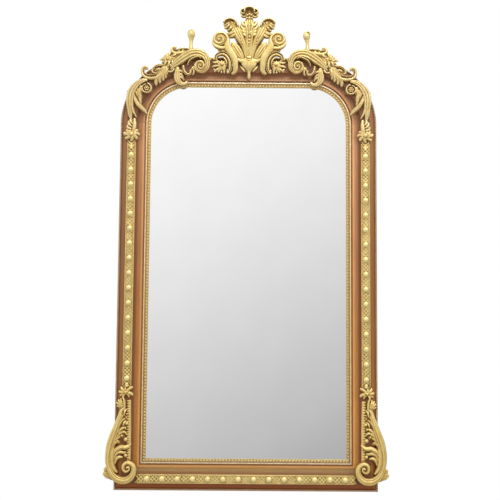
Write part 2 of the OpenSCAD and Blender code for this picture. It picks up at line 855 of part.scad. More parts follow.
module wing_finial_right() {
  color(gold) on_seat() {
    finial_stem();
    translate(concat(wing_at(-6.5, 67), 0)) rotate([-90, 0, 6]) rotate_extrude($fn = 32)
      polygon([[0, -4], [10.5, 0], [15, 12], [14, 25], [11, 36], [6, 43], [0, 46]]);
  }
}

module wing_leaf() {
  leaf([wing_at(42, -51), wing_at(46, -68), wing_at(45, -93), wing_at(34, -112), wing_at(16, -117),
    wing_at(3, -106)], [8, 13, 15, 12, 7, 2], 6, leaf_h * [0.7, 1, 1, 1, 1, 0.6]);
  sweep(curve([wing_at(24, -44), wing_at(20, -60), wing_at(9, -73), wing_at(-4, -70),
    wing_at(-8, -58)], 2), [3, 5, 5.5, 5, 3], leaf_h * [0.55, 0.65, 0.8, 0.8, 0.6]);
}

module wing_leaf_right() {
  color(gold) on_seat() wing_leaf();
}

module wing_leaf_left() {
  color(gold) on_seat() flipped() wing_leaf();
}

// Shoulders

module shoulder_spray() {
  flower = arc_at(71, -8);
  union() {
    sweep(curve([arc_at(67, 22), arc_at(59, 32), arc_at(54, 37), arc_at(49.8, 27), arc_at(47.5, 8),
      arc_at(48.3, -8), arc_at(50.5, -17), arc_at(52.8, -12)], 2), [9, 12, 12, 9, 7.5, 6.5, 6, 3.5],
      leaf_h * [0.7, 1, 1.2, 1.3, 1], edge = 0.3, shoulder = 0.55, rake = 0.3);
    lobe(arc_at(62, 34), arc_at(50, 74), 20, leaf_h);
    lobe(arc_at(65, 32), arc_at(56.5, 75), 20, leaf_h * 0.9);
    lobe(arc_at(68, 30), arc_at(62, 71), 18, leaf_h * 0.8);
    lobe(arc_at(64, 27), arc_at(57, 2), 15, leaf_h);
    lobe(arc_at(67, 27), arc_at(63.5, -4), 14, leaf_h);
    lobe(arc_at(72, 4), arc_at(67, 30), 16, leaf_h * 1.1);
    lobe_ring(flower, 23, 8, 12, leaf_h, 20);
    translate(flower) cylinder(r1 = 6, r2 = 4, h = leaf_h + 2, $fn = 8);
  }
}

module shoulder_spray_right() {
  color(gold) on_seat() shoulder_spray();
}

module shoulder_spray_left() {
  color(gold) on_seat() flipped() shoulder_spray();
}

rosette_at = arc_at(39.8, 53);

module corner_leaf() {
  ring_r = rosette_r + 7;
  union() {
    sweep(curve(concat([side_at(41, corner_y + 8), side_at(39.5, corner_y + 36), arc_at(15, 28),
      arc_at(20.5, 20.5), arc_at(25.7, 14.5), arc_at(31, 10.5), arc_at(36.3, 12), arc_at(41, 20)],
      spiral(rosette_at, ring_r + 7, ring_r, 72, 330, 7)), 2),
      [2, 8, 12, 14, 14.5, 14, 12.5, 9.5, 7, 6, 5, 4.5, 4, 4, 4, 4],
      leaf_h * [0.7, 1, 1.2, 1.3, 1.2, 1, 1, 0.8]);
    lobe(arc_at(26, 22), arc_at(13.6, 101), 20, leaf_h);
    lobe(arc_at(19, 32), arc_at(3.4, 71), 18, leaf_h);
    lobe(arc_at(34, 24), arc_at(27, 50), 15, leaf_h);
    lobe(arc_at(30, 26), arc_at(19, 58), 15, leaf_h * 0.8);
    lobe(arc_at(31, 10), arc_at(24.8, -10), 10, leaf_h * 0.7);
  }
}

module corner_leaf_right() {
  color(gold) on_seat() corner_leaf();
}

module corner_leaf_left() {
  color(gold) on_seat() flipped() corner_leaf();
}

// Domed boss with a ring of beads round it
module rosette() {
  rotate_extrude($fn = 48) polygon([[0, 0], [rosette_r, 0], [rosette_r, 3], [rosette_r - 2, 6],
    [rosette_r - 5, 5], [5, 8], [3, 11], [0, 12]]);
}

module shoulder_rosettes() {
  color(gold) on_seat() for (s = [0, 1]) mirror([s, 0, 0]) translate(rosette_at) rosette();
}

// Star flower over the top of the pearl band, with leaves that reach up to the corner leaf
module star_flower() {
  c = side_at(seat_mid, corner_y - 49);
  union() {
    lobe_ring(c, star_r, 8, 15, 12, 22.5);
    lobe_ring(c, star_r * 0.6, 4, 11, 15, 10);
    lobe(c + [4, 6], c + [20, 40], 14, 12);
    lobe(c + [-4, 6], c + [-17, 52], 16, 12);
    translate(c) cylinder(r1 = 6, r2 = 4, h = 17, $fn = 8);
  }
}

module star_flower_right() {
  color(gold) on_seat() star_flower();
}

module star_flower_left() {
  color(gold) on_seat() flipped() star_flower();
}

// Lower brackets

module bracket_scroll() {
  path = curve([for (p = [[28, 320], [23, 294], [12, 262], [0, 226], [-10, 192], [-17, 161], [-20, 130],
    [-18.5, 101], [-9.5, 77], [7, 56], [29, 46], [51, 46], [68.5, 58], [77.5, 76], [78, 95], [68, 107],
    [53, 108], [43, 100], [43, 87], [52, 80]]) side_at(p[0], p[1])], 2);
  sweep(path, bracket_hw * [0.4, 0.6, 0.7, 0.77, 0.8, 0.85, 0.92, 1.05, 1.12, 1.15, 1.08, 1, 0.9, 0.8, 0.7,
    0.58, 0.5, 0.42, 0.35, 0.23], bracket_h * [0.4, 0.6, 0.8, 1, 1, 1, 1, 0.9, 0.8, 0.9, 1]);
}

module bracket_scroll_right() {
  color(gold) on_seat() bracket_scroll();
}

module bracket_scroll_left() {
  color(gold) on_seat() flipped() bracket_scroll();
}

// Leaf that looks out from behind the scroll and rests on the outer bead of the frame
module bracket_ear() {
  drop = seat_z - edge_z;
  translate([0, 0, -drop]) linear_extrude(drop) polygon([side_at(7, 46), side_at(-20, 48),
    side_at(-38, 55), side_at(-44, 62), side_at(-36, 76), side_at(-26, 92), side_at(-16, 98),
    side_at(2, 98), side_at(7, 84)]);
}

// Leaves inside the bracket scroll. The longest one passes over the strip.
module bracket_leaves() {
  union() {
    sweep(curve([concat(side_at(6, 110), 0), concat(side_at(7, 134), 0), concat(side_at(16, 153), 0),
      concat(side_at(33, 163), 2), concat(side_at(49, 168), 8), concat(side_at(67, 180), 10)], 2),
      lobed([4, 8, 9, 9, 8, 2], 5, 0.15), [8, 13, 14, 10, 5], edge = 0.3, shoulder = 0.5, rake = 0.3);
    lobe(side_at(12, 110), side_at(38, 146), 15, 12);
    lobe(side_at(14, 103), side_at(36, 129), 12, 10);
    for (p = [[3, 180, 24, 201, 13], [8, 194, 35, 217, 14], [14, 210, 45, 231, 14], [17, 226, 41, 247, 13],
      [21, 241, 44, 277, 13], [27, 263, 46, 302, 13]])
      lobe(side_at(p[0], p[1]), side_at(p[2], p[3]), p[4], 12);
    bracket_ear();
  }
}

module bracket_leaves_right() {
  color(gold) on_seat() bracket_leaves();
}

module bracket_leaves_left() {
  color(gold) on_seat() flipped() bracket_leaves();
}

// Sprig over the foot of the pearl band
module bracket_sprig() {
  c = side_at(42, 378);
  union() {
    for (p = [[-31, 24, 14, 11], [-30, -10, 15, 12], [-14, 27, 12, 10], [19, 27, 14, 11], [26, 8, 14, 11],
      [-6, -30, 13, 12], [6, -34, 13, 11]])
      lobe(c, c + [p[0], p[1]], p[2], p[3]);
    for (p = [[36, -22], [37, -35], [30, -46]]) lobe(c + [6, -24], c + p, 14, 11);
  }
}

module bracket_sprig_right() {
  color(gold) on_seat() bracket_sprig();
}

module bracket_sprig_left() {
  color(gold) on_seat() flipped() bracket_sprig();
}

// Fluted strip that carries the berries beside the bracket scroll
module bracket_strips() {
  low = 120;
  high = 338;
  color(gold) on_seat() for (s = [0, 1]) mirror([s, 0, 0]) translate([half_w - cove_d, high, 0])
    rotate([90, 0, 0]) linear_extrude(high - low)
      polygon([for (p = [[0, 0], [1, 0], [1, 3], [0.85, 5], [0.66, 3], [0.48, 5], [0.3, 3], [0.15, 6],
        [0, 6]]) [strip_w * p[0], p[1]]]);
}

module bracket_berries() {
  color(gold) on_seat() for (s = [0, 1]) mirror([s, 0, 0]) {
    for (p = [[261, 0.8], [198, 1], [137, 0.85]])
      translate(concat(side_at(cove_d - strip_w - berry_r + 1, p[0]), 0))
      intersection() {
        translate([0, 0, 0.45 * berry_r * p[1]]) sphere(r = berry_r * p[1] * 0.86, $fn = 32);
        translate([-berry_r, -berry_r, 0]) cube(2 * berry_r);
      }
  }
}

stile_left();
stile_right();
bottom_rail();
top_rail();
corner_left();
corner_right();
mitre_keys();
corner_dowels();
slip_left();
slip_right();
slip_bottom();
slip_top();
slip_corner_left();
slip_corner_right();
pearl_band_left();
pearl_band_right();
pearl_band_bottom();
mirror_glass();
backing_board();
glazing_blocks();
backing_screws();
hanger_plates();
hanger_screws();
crest_board();
crest_batten();
crest_screws();
crest_plume_center();
crest_plume_left();
crest_plume_right();
crest_volute_left();
crest_volute_right();
crest_c_scroll_left();
crest_c_scroll_right();
crest_flower_left();
crest_flower_right();
crest_shield();
crest_drop();
wing_scroll_left();
wing_scroll_right();
wing_finial_left();
wing_finial_right();
wing_leaf_left();
wing_leaf_right();
shoulder_spray_left();
shoulder_spray_right();
corner_leaf_left();
corner_leaf_right();
shoulder_rosettes();
star_flower_left();
star_flower_right();
bracket_scroll_left();
bracket_scroll_right();
bracket_leaves_left();
bracket_leaves_right();
bracket_sprig_left();
bracket_sprig_right();
bracket_strips();
bracket_berries();
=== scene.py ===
"""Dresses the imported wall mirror: moulded walnut, gilt carving, silvered glass and a plain studio.

Ornament is drawn in elevation millimetres, as a carver would set it out on the bench: x across from
the middle of the frame, y up from its bottom edge and z out from the seat that the carving lies on.
"""

import math

import bpy
import numpy as np
from bpy.props import FloatProperty, FloatVectorProperty, PointerProperty
from mathutils import Matrix, Vector


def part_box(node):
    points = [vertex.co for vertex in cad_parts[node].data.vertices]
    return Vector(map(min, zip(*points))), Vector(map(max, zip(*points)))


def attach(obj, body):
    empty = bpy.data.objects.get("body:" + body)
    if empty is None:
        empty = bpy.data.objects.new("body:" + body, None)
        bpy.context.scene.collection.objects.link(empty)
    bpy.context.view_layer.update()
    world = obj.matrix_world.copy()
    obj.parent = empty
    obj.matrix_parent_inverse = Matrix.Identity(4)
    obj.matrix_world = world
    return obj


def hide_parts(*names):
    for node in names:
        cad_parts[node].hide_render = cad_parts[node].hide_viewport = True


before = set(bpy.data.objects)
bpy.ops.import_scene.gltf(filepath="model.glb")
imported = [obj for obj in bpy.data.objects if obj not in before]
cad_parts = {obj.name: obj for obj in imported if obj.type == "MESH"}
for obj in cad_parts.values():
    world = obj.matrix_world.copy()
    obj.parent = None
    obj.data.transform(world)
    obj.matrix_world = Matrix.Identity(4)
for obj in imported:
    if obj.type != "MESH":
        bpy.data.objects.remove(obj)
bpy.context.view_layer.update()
BODY = "root"

bl_info = {
    "name": "Gilded wall mirror",
    "version": (1, 0, 0),
    "blender": (4, 5, 0),
    "location": "3D View > Sidebar > Mirror",
    "description": "Gilt carving, moulding finishes, glass and studio for a tall wall mirror",
    "category": "Object",
}

MM = 0.001
SIDES = (("left", -1), ("right", 1))

# Main lines of the frame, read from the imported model, in elevation millimetres
HALF_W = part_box("stile_right")[1].x / MM
LOW_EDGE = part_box("bottom_rail")[0].z / MM
FRAME_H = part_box("top_rail")[1].z / MM - LOW_EDGE
CORNER_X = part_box("top_rail")[1].x / MM
CORNER_R = HALF_W - CORNER_X
CORNER_Y = FRAME_H - CORNER_R
SEAT_Z = -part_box("stile_right")[0].y / MM
SEAT_IN = HALF_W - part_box("pearl_band_right")[1].x / MM
SEAT_W = (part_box("pearl_band_right")[1].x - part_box("pearl_band_right")[0].x) / MM
SEAT_OUT = SEAT_IN + SEAT_W
SLIP_IN = HALF_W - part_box("slip_right")[1].x / MM
MOULDING_W = HALF_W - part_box("slip_right")[0].x / MM
SLIP_Z = -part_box("slip_right")[1].y / MM

# Places in the ornament
VOLUTE_EYE = (120, 69)
FLOWER_AT = (110, -35)
WING_EYE = (-47, -43)
ROSETTE_AT = (39.5, 54)
SPRAY_FLOWER_AT = (71.8, 0)
STAR_AT = (47, -49)
BRACKET_EYE = (56, 91)
SPRIG_AT = (44, 382)
# First and last pearl, from the foot of the frame and from its middle
PEARLS_UP = (437, 1331)
PEARLS_ACROSS = (-389, 389)
# How far in from the outer edge the rope and the leaves of the slip run, and how far out they stand
ROPE_LINE = (4.6, 34.4)
LEAF_LINE = (SLIP_IN + 12.5, SLIP_Z + 4.2)
# How far the bottom band runs on under the coils, how far the lattice and the beads stop short of the
# ends of a band, and where the buds stand below the first pearl and above the last
BAND_RUN_ON = 16
LATTICE_ENDS = (8, 7.9)
BEAD_ENDS = (3, 2.9)
BEAD_INSET = 2.2   # from the edge of the band to the middle of its beads
BUDS_BELOW = (29, 23)
BUDS_ABOVE = (28, 34)


def linear(hex_colour):
    """Linear red, green, blue and alpha of an sRGB hex value."""
    parts = [int(hex_colour[i:i + 2], 16) / 255 for i in (1, 3, 5)]
    return [c / 12.92 if c <= 0.04045 else ((c + 0.055) / 1.055) ** 2.4 for c in parts] + [1.0]


def length(name, description, metres):
    """A length in the panel."""
    return FloatProperty(name=name, description=description, default=metres, unit="LENGTH")


def hue(name, description, hex_colour):
    """A colour in the panel."""
    return FloatVectorProperty(name=name, description=description, default=linear(hex_colour), size=4,
                               subtype="COLOR")


class MirrorSizes(bpy.types.PropertyGroup):
    """Sizes of the fine ornament that the wooden frame itself doesn't fix."""
    pearl: length("Pearl", "Diameter of one pearl", 0.0255)
    pearl_pitch: length("Pearl pitch", "Distance from pearl to pearl", 0.06)
    rope_pitch: length("Rope pitch", "Distance between the turns of the rope edge", 0.0066)
    leaf_pitch: length("Leaf pitch", "Distance between the leaves of the slip", 0.0125)
    chisel: length("Chisel", "Finest detail left by the carver", 0.0013)


class MirrorColours(bpy.types.PropertyGroup):
    """Colours of the finishes."""
    gold_light: hue("Burnished gold", "Leaf on the high points", "#F7E7A6")
    gold: hue("Gold", "Leaf on the open surfaces", "#DEC06E")
    gold_toned: hue("Toned gold", "Leaf with umber toning", "#BA934C")
    bole: hue("Bole", "Brown ground in the deepest cuts", "#8A662E")
    walnut: hue("Walnut", "Outer band of the moulding", "#936036")
    # The cove is this darker brown as painted shade in the hollow
    cove: hue("Cove", "Dark hollow of the moulding", "#82502A")
    copper: hue("Copper brown", "Ogee beside the slip", "#C48C5A")


# Setting out: each function places a point of one part of the ornament on the right half


def top_at(x, up):
    """From the middle of the top edge."""
    return np.array([x, FRAME_H + up], float)


def wing_at(x, up):
    """From the end of the straight top edge."""
    return np.array([CORNER_X + x, FRAME_H + up], float)


def side_at(d, y):
    """In from the outer edge and up from the foot."""
    return np.array([HALF_W - d, y], float)


def corner_at(d, y):
    """In from the outer edge and up from the foot of the rounded corner."""
    return np.array([HALF_W - d, CORNER_Y + y], float)


def arc_at(angle, d):
    """On the rounded corner, in from the outer edge."""
    return out_from((CORNER_X, CORNER_Y), angle, CORNER_R - d)


def out_from(centre, angle, reach):
    """The point that lies at an angle and a distance from a centre."""
    a = math.radians(angle)
    return np.array(centre) + reach * np.array([math.cos(a), math.sin(a)])


def placed(at, pairs):
    """Points set out by one of the functions above."""
    return [at(*pair) for pair in pairs]


def deep(points):
    """Points with a height, zero where none is given."""
    return np.array([[p[0], p[1], p[2] if len(p) > 2 else 0] for p in points], float)


def smooth_line(points, steps=5):
    """Curve that passes smoothly through the given points."""
    p = deep(points)
    p = np.vstack([p[:1], p, p[-1:]])
    out = []
    for a, b, c, d in zip(p, p[1:], p[2:], p[3:]):
        for t in np.arange(steps) / steps:
            out.append(0.5 * (2 * b + (c - a) * t + (2 * a - 5 * b + 4 * c - d) * t * t
                              + (3 * b - a - 3 * c + d) * t ** 3))
    return np.array(out + [p[-1]])


def along(values, count):
    """A short list of values spread over a longer row of stations."""
    values = np.atleast_1d(np.array(values, float))
    return np.interp(np.linspace(0, 1, count), np.linspace(0, 1, len(values)), values)


def taper(first, last, count):
    """Values that run evenly from the first to the last."""
    return list(np.linspace(first, last, count))


def coil(eye, radii, first, last, steps):
    """Points of a volute: its radius is given at equal steps of angle."""
    return [out_from(eye, angle, r) for r, angle in zip(along(radii, steps), np.linspace(first, last, steps))]


# Sections of carved bands: relative height over the width from -1 to 1


def crowned(u):
    """A plain round back."""
    return 0.25 + 0.75 * np.sqrt(np.clip(1 - u * u, 0, 1))


def domed(u):
    """A broad smooth swelling with quick edges."""
    return 0.45 + 0.55 * np.sqrt(np.clip(1 - np.abs(u) ** 3, 0, 1))


def lipped(edge):
    """A bright raised lip along one edge, a groove beside it and a low round back: edge is 1 or -1."""
    def section(u):
        return np.interp(u * edge, [-1, -0.85, -0.4, 0.05, 0.3, 0.55, 0.78, 0.94, 1],
                         [0.4, 0.66, 0.84, 0.78, 0.58, 0.66, 1, 0.94, 0.5])
    return section


def ribbed(u):
    """A swelling band with three soft ribs."""
    return domed(u) * (0.93 + 0.07 * np.cos(3 * np.pi * u))


def cut(u, at, width):
    """Depth of one fine groove across the section."""
    return np.exp(-((u - at) / width) ** 2)


def creased(u):
    """A broad band with one crease near its inner edge and a fainter one beyond the middle."""
    return domed(u) - 0.15 * cut(u, 0.5, 0.13) - 0.07 * cut(u, -0.35, 0.14)


def fluted(ridges, depth):
    """A smooth swelling cut with shallow flutes."""
    def section(u):
        return domed(u) * (1 - depth + depth * np.abs(np.cos(ridges * np.pi * u / 2)) ** 0.6)
    return section


def veined(u):
    """A leaf that swells on both sides of a fine vein."""
    return 0.3 + 0.7 * (1 - np.abs(u) ** 2.4) - 0.16 * cut(u, 0, 0.14)


def shielded(u):
    """A swelling with a low keel down its middle."""
    return domed(u) + 0.1 * cut(u, 0, 0.2)


def tube_faces(rows, around, first=0):
    """Faces of a tube of rings: its walls, the cap of its first ring and the cap of its last."""
    walls = []
    for i in range(rows - 1):
        for k in range(around):
            a, b = first + i * around + k, first + i * around + (k + 1) % around
            walls.append([a, b, b + around, a + around])
    start, end = first, first + (rows - 1) * around
    return walls, [start + k for k in range(around)][::-1], [end + k for k in range(around)]


class Carving:
    """Closed shapes that together become one carved piece."""

    def __init__(self):
        self.points, self.faces, self.count, self.tones = [], [], 0, []

    def add(self, points, faces):
        """Takes in one closed shape."""
        self.faces += [[i + self.count for i in f] for f in faces]
        self.points.append(np.array(points, float))
        self.count += len(points)

    def tone(self, at, *rows):
        """Marks spots that are painted darker as painted shade, in hoods and under curls, each given by
        place, radius and amount.
        """
        self.tones += [(*at(x, y), radius, amount) for x, y, radius, amount in rows]

    def merge(self, other, turn=0.0, shift=(0, 0), mirror=False):
        """Adds another carving, turned about its own origin and moved, or mirrored."""
        p = np.vstack(other.points)
        if mirror:
            p = p * [-1, 1, 1]
        a = math.radians(turn)
        x = p[:, 0] * math.cos(a) - p[:, 1] * math.sin(a) + shift[0]
        y = p[:, 0] * math.sin(a) + p[:, 1] * math.cos(a) + shift[1]
        faces = [f[::-1] for f in other.faces] if mirror else other.faces
        self.add(np.stack([x, y, p[:, 2]], 1), faces)
        self.tones += [(-t[0] if mirror else t[0], *t[1:]) for t in other.tones]

    def band(self, path, half, height, section, across):
        """A band swept along a path, flat underneath and shaped on top by its section."""
        path = deep(path)
        n = len(path)
        half, height = along(half, n), along(height, n)
        forward = unit(np.gradient(path, axis=0))
        lateral = unit(np.stack([forward[:, 1], -forward[:, 0], np.zeros(n)], 1))
        up = unit(np.cross(lateral, forward))
        u = np.linspace(1, -1, across)
        top = (path[:, None] + lateral[:, None] * (u[None, :, None] * half[:, None, None])
               + up[:, None] * (section(u)[None, :, None] * height[:, None, None]))
        under = path[:, None] + lateral[:, None] * (np.array([-1, 1])[None, :, None] * half[:, None, None])
        walls, foot, head = tube_faces(n, across + 2)
        self.add(np.concatenate([top, under], 1).reshape(-1, 3), walls + [foot, head])

    def sweep(self, at, pairs, half, height, section, across, steps=5, z=0.0):
        """A band along the smooth line through some placed points, z above the seat."""
        self.band(smooth_line([(*p, z) for p in placed(at, pairs)], steps), half, height, section, across)

    def rim(self, at, pairs, z, height, half=3.8):
        """A turned-over edge: a wall that stands on the leaf and shades the hollow inside it."""
        self.sweep(at, pairs, half, height, crowned, 9, z=z)

    def lobe(self, root, tip, width, height, bend=0.0, lift=0.0, base=0.0):
        """A pointed leaf lobe from root to tip, bent sideways and lifted at its end."""
        run = tip - root
        away = np.array([run[1], -run[0]])
        line = [np.append(root, base), np.append(root + 0.35 * run + away * bend, base),
                np.append(root + 0.72 * run + away * bend, base + 0.3 * lift), np.append(tip, base + lift)]
        half = np.array([0.4, 0.82, 1, 1, 0.9, 0.66, 0.2]) * width / 2
        self.band(smooth_line(line, 4), half, height * np.array([0.8, 1, 1, 0.9, 0.62, 0.3]), veined, 11)

    def lobes(self, at, rows, height, bend=0.0, lift=0.0, base=0.0):
        """Lobes that are each given by root, tip and width."""
        for x, y, tip_x, tip_y, width in rows:
            self.lobe(at(x, y), at(tip_x, tip_y), width, height, bend, lift, base)

    def petals(self, centre, rays, width, height, bend, lift):
        """Lobes round a centre, each given by angle and length."""
        for angle, reach in rays:
            self.lobe(centre, out_from(centre, angle, reach), width, height, bend, lift)

    def bead(self, centre, radius, height=None, rows=8, turns=16):
        """A round bead on its seat."""
        x, y, z = centre
        height = radius if height is None else height
        points = [[x, y, z - radius * 0.4]]
        for b in np.linspace(0, math.pi / 2, rows + 1):
            for a in np.arange(turns) * 2 * math.pi / turns:
                points.append([x + radius * math.cos(b) * math.cos(a), y + radius * math.cos(b) * math.sin(a),
                               z + height * math.sin(b)])
        walls, _, head = tube_faces(rows + 1, turns, 1)
        self.add(points, [[0, 1 + (k + 1) % turns, 1 + k] for k in range(turns)] + walls + [head])

    def beads(self, at, z, spots, height=None, rows=8):
        """Beads that are each given by place and radius."""
        for x, y, radius in spots:
            self.bead((*at(x, y), z), radius, height, rows)

    def lathe(self, foot, axis, profile, turns=28):
        """A turned shape: profile gives radius and distance along an axis that leaves the foot."""
        axis = np.array(axis, float) / np.linalg.norm(axis)
        aside = np.cross(axis, [0.0, 0.0, 1.0])
        if np.linalg.norm(aside) < 0.1:
            aside = np.cross(axis, [0.0, 1.0, 0.0])
        aside /= np.linalg.norm(aside)
        third = np.cross(axis, aside)
        spokes = [aside * math.cos(a) + third * math.sin(a) for a in np.arange(turns) * 2 * math.pi / turns]
        foot = np.array(foot, float)
        points = [foot + axis * d + spoke * max(r, 0.05) for r, d in profile for spoke in spokes]
        walls, start, end = tube_faces(len(profile), turns)
        self.add(points, walls + [start, end])

    def boss(self, centre, radius, rise, crown, top):
        """A low turned mound: its side rises to a shoulder, then to a smaller crown."""
        profile = [(0, 0), (radius, 0), (radius - 1, rise), (crown, top), (0, top + 1)]
        self.lathe((*centre, 0), (0, 0, 1), profile)


def unit(vectors):
    """The vectors at length one."""
    return vectors / np.maximum(np.linalg.norm(vectors, axis=1, keepdims=True), 1e-6)


def along_side(carving, side):
    """The carving for one side of the frame: everything is drawn for the right."""
    if side > 0:
        return carving
    other = Carving()
    other.merge(carving, mirror=True)
    return other


def to_mesh(name, points, faces, seat=SEAT_Z, edges=()):
    """A mesh in metres in the frame of the model, from elevation millimetres."""
    p = np.array(points, float)
    world = np.stack([p[:, 0], -(p[:, 2] + seat), p[:, 1] + LOW_EDGE], 1) * MM
    mesh = bpy.data.meshes.new(name)
    mesh.from_pydata(world.tolist(), edges, faces)
    mesh.update()
    return mesh


def place(name, data):
    """A new object of the scene."""
    piece = bpy.data.objects.new(name, data)
    bpy.context.scene.collection.objects.link(piece)
    return piece


def applied(piece):
    """Turns the result of a piece's modifiers into its own plain mesh."""
    graph = bpy.context.evaluated_depsgraph_get()
    mesh = bpy.data.meshes.new_from_object(piece.evaluated_get(graph), depsgraph=graph)
    piece.modifiers.clear()
    old, piece.data = piece.data, mesh
    mesh.name = piece.name
    bpy.data.meshes.remove(old)
    return piece


def finished(piece, material, slot, *nodes):
    """Gives a piece its finish, lets it ride on the frame and hides the solids that it stands for."""
    piece.data.materials.clear()
    piece.data.materials.append(material)
    piece.data.polygons.foreach_set("use_smooth", [True] * len(piece.data.polygons))
    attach(piece, BODY)
    if nodes:
        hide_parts(*nodes)


RELIEF_SCALES = (4, 12, 30)   # rounds of smoothing that fine, middling and broad relief is measured against


def relief(mesh, tones):
    """Stores how far each point stands above or below its surroundings, in millimetres: the gilding shows it
    as burnished ridges and bole in the hollows, partly as painted shade there. Faces that look down count as
    lower, as painted shade under them."""
    n = len(mesh.vertices)
    co, normals = np.empty(n * 3), np.empty(n * 3)
    mesh.vertices.foreach_get("co", co)
    mesh.vertices.foreach_get("normal", normals)
    co, normals = co.reshape(-1, 3), normals.reshape(-1, 3)
    edges = np.empty(len(mesh.edges) * 2, int)
    mesh.edges.foreach_get("vertices", edges)
    a, b = edges.reshape(-1, 2).T
    degree = np.maximum(np.bincount(a, minlength=n) + np.bincount(b, minlength=n), 1)[:, None]
    total, calm = np.zeros(n), co.copy()
    for step in range(1, RELIEF_SCALES[-1] + 1):
        pull = np.stack([np.bincount(a, calm[b, axis], n) + np.bincount(b, calm[a, axis], n)
                         for axis in range(3)], 1)
        calm = 0.4 * calm + 0.6 * pull / degree
        if step in RELIEF_SCALES:
            total += np.einsum("ij,ij->i", co - calm, normals) / MM
    # Painted shade: faces that look down are counted lower, so the gilding goes darker under them
    total = total / len(RELIEF_SCALES) - 1.3 * np.clip(-normals[:, 2] - 0.3, 0, 1)
    # Painted shade: the listed spots go darker still, most on faces that don't look to the front
    for x, y, radius, amount in tones:
        far = np.hypot(co[:, 0] / MM - x, co[:, 2] / MM - LOW_EDGE - y) / radius
        total -= amount * np.exp(-far ** 2) * np.clip(1.3 + normals[:, 1], 0, 1)
    layer = mesh.attributes.new("relief", "FLOAT", "POINT")
    layer.data.foreach_set("value", total.astype(np.float32))


def carved(name, carving, node):
    """Fuses the shapes of a carving into one skin, softens it and gilds it."""
    piece = place(name, to_mesh(name, np.vstack(carving.points), carving.faces))
    fuse = piece.modifiers.new("Fuse", "REMESH")
    fuse.mode = "VOXEL"
    fuse.voxel_size = bpy.context.scene.mirror_sizes.chisel
    soften = piece.modifiers.new("Soften", "SMOOTH")
    soften.factor, soften.iterations = 0.5, 2
    applied(piece)
    relief(piece.data, carving.tones)
    finished(piece, finish("carved_gilding"), "ornament_gilding", node)


def carve_side(name, side, *rows):
    """Carves the pieces of one side, each given by label, shape and node."""
    for label, shape, node in rows:
        carved(f"carved_{label}_{name}", along_side(shape, side), f"{node}_{name}")


# Finishes


def add(tree, kind, inputs=None, **settings):
    """Adds a node, applies its settings, and fills or links its inputs."""
    made = tree.nodes.new(kind)
    for key, value in settings.items():
        setattr(made, key, value)
    for key, value in (inputs or {}).items():
        if isinstance(value, bpy.types.NodeSocket):
            tree.links.new(value, made.inputs[key])
        else:
            made.inputs[key].default_value = value
    return made


def new_finish(name):
    """An empty finish, its node tree and the place on the object."""
    material = bpy.data.materials.new(name)
    material.use_nodes = True
    tree = material.node_tree
    tree.nodes.clear()
    return material, tree, add(tree, "ShaderNodeTexCoord").outputs["Object"]


def close_finish(tree, **inputs):
    """Ends a finish in a Principled shader with the given inputs."""
    names = {key.replace("_", " "): value for key, value in inputs.items()}
    shader = add(tree, "ShaderNodeBsdfPrincipled", names)
    add(tree, "ShaderNodeOutputMaterial", {"Surface": shader.outputs["BSDF"]})


def graded(tree, factor, stops):
    """Colour that runs through the given stops as the factor rises from 0 to 1."""
    ramp = add(tree, "ShaderNodeValToRGB", {"Fac": factor})
    elements = ramp.color_ramp.elements
    while len(elements) < len(stops):
        elements.new(0.5)
    for element, (position, colour) in zip(elements, stops):
        element.position, element.color = position, colour
    return ramp.outputs["Color"]


def noise(tree, vector, size_mm, detail=2.0, roughness=0.5):
    """Noise whose grains are about the given size."""
    return add(tree, "ShaderNodeTexNoise", {"Vector": vector, "Scale": 1 / (size_mm * MM), "Detail": detail,
                                            "Roughness": roughness}).outputs["Fac"]


def calc(tree, operation, a, b=0.0):
    """One sum with two terms, which are values or sockets."""
    return add(tree, "ShaderNodeMath", {0: a, 1: b}, operation=operation).outputs[0]


def total_of(tree, first, *terms):
    """Sum in which a term is a value or a value with its weight."""
    for term in terms:
        first = calc(tree, "ADD", first, calc(tree, "MULTIPLY", *term) if isinstance(term, tuple) else term)
    return first


def spread(tree, value, lowest, highest, to_lowest=0.0, to_highest=1.0):
    """The value's range stretched to another range, and held at its ends."""
    return add(tree, "ShaderNodeMapRange", {"Value": value, "From Min": lowest, "From Max": highest,
                                            "To Min": to_lowest, "To Max": to_highest}).outputs["Result"]


def times(tree, colour, by):
    """One colour times another, or times a value."""
    return add(tree, "ShaderNodeVectorMath", {0: colour, 1: by}, operation="MULTIPLY").outputs["Vector"]


def bumped(tree, height, strength, depth_mm):
    """The surface roughened by a height."""
    return add(tree, "ShaderNodeBump", {"Height": height, "Strength": strength,
                                        "Distance": depth_mm * MM}).outputs["Normal"]


def tint(key):
    """A hex value, or one of the colours in the panel by its name."""
    return linear(key) if key.startswith("#") else getattr(bpy.context.scene.mirror_colours, key)


MOST = 1.8   # most that the painted light by height lightens a finish


def painted_light_by_height(tree, at, colour, stops):
    """The colour times a tint that changes from the foot of the frame to its head: painted light, which
    makes parts lighter or darker, warmer or cooler, by their height in the frame."""
    z = add(tree, "ShaderNodeSeparateXYZ", {"Vector": at}).outputs["Z"]
    rise = spread(tree, z, LOW_EDGE * MM, (LOW_EDGE + FRAME_H) * MM)
    fade = graded(tree, rise, [(share, [v / MOST for v in by] + [1]) for share, by in stops])
    return times(tree, colour, times(tree, fade, (MOST,) * 3))


CUT_REACH = 0.016   # how far a cut is shaded by the carving beside it
# Painted light on the carving by height: warmer and darker at the foot, darker and cooler just under the
# crest
CARVED_HEIGHT_LIGHT = ((0.0, (0.97, 0.89, 0.76)), (0.22, (0.97, 0.89, 0.78)), (0.35, (1.02, 1, 1)),
              (0.75, (1.02, 1, 1)), (0.85, (0.9, 0.86, 0.94)), (0.96, (0.89, 0.84, 0.91)),
              (1.0, (0.97, 0.96, 0.95)))


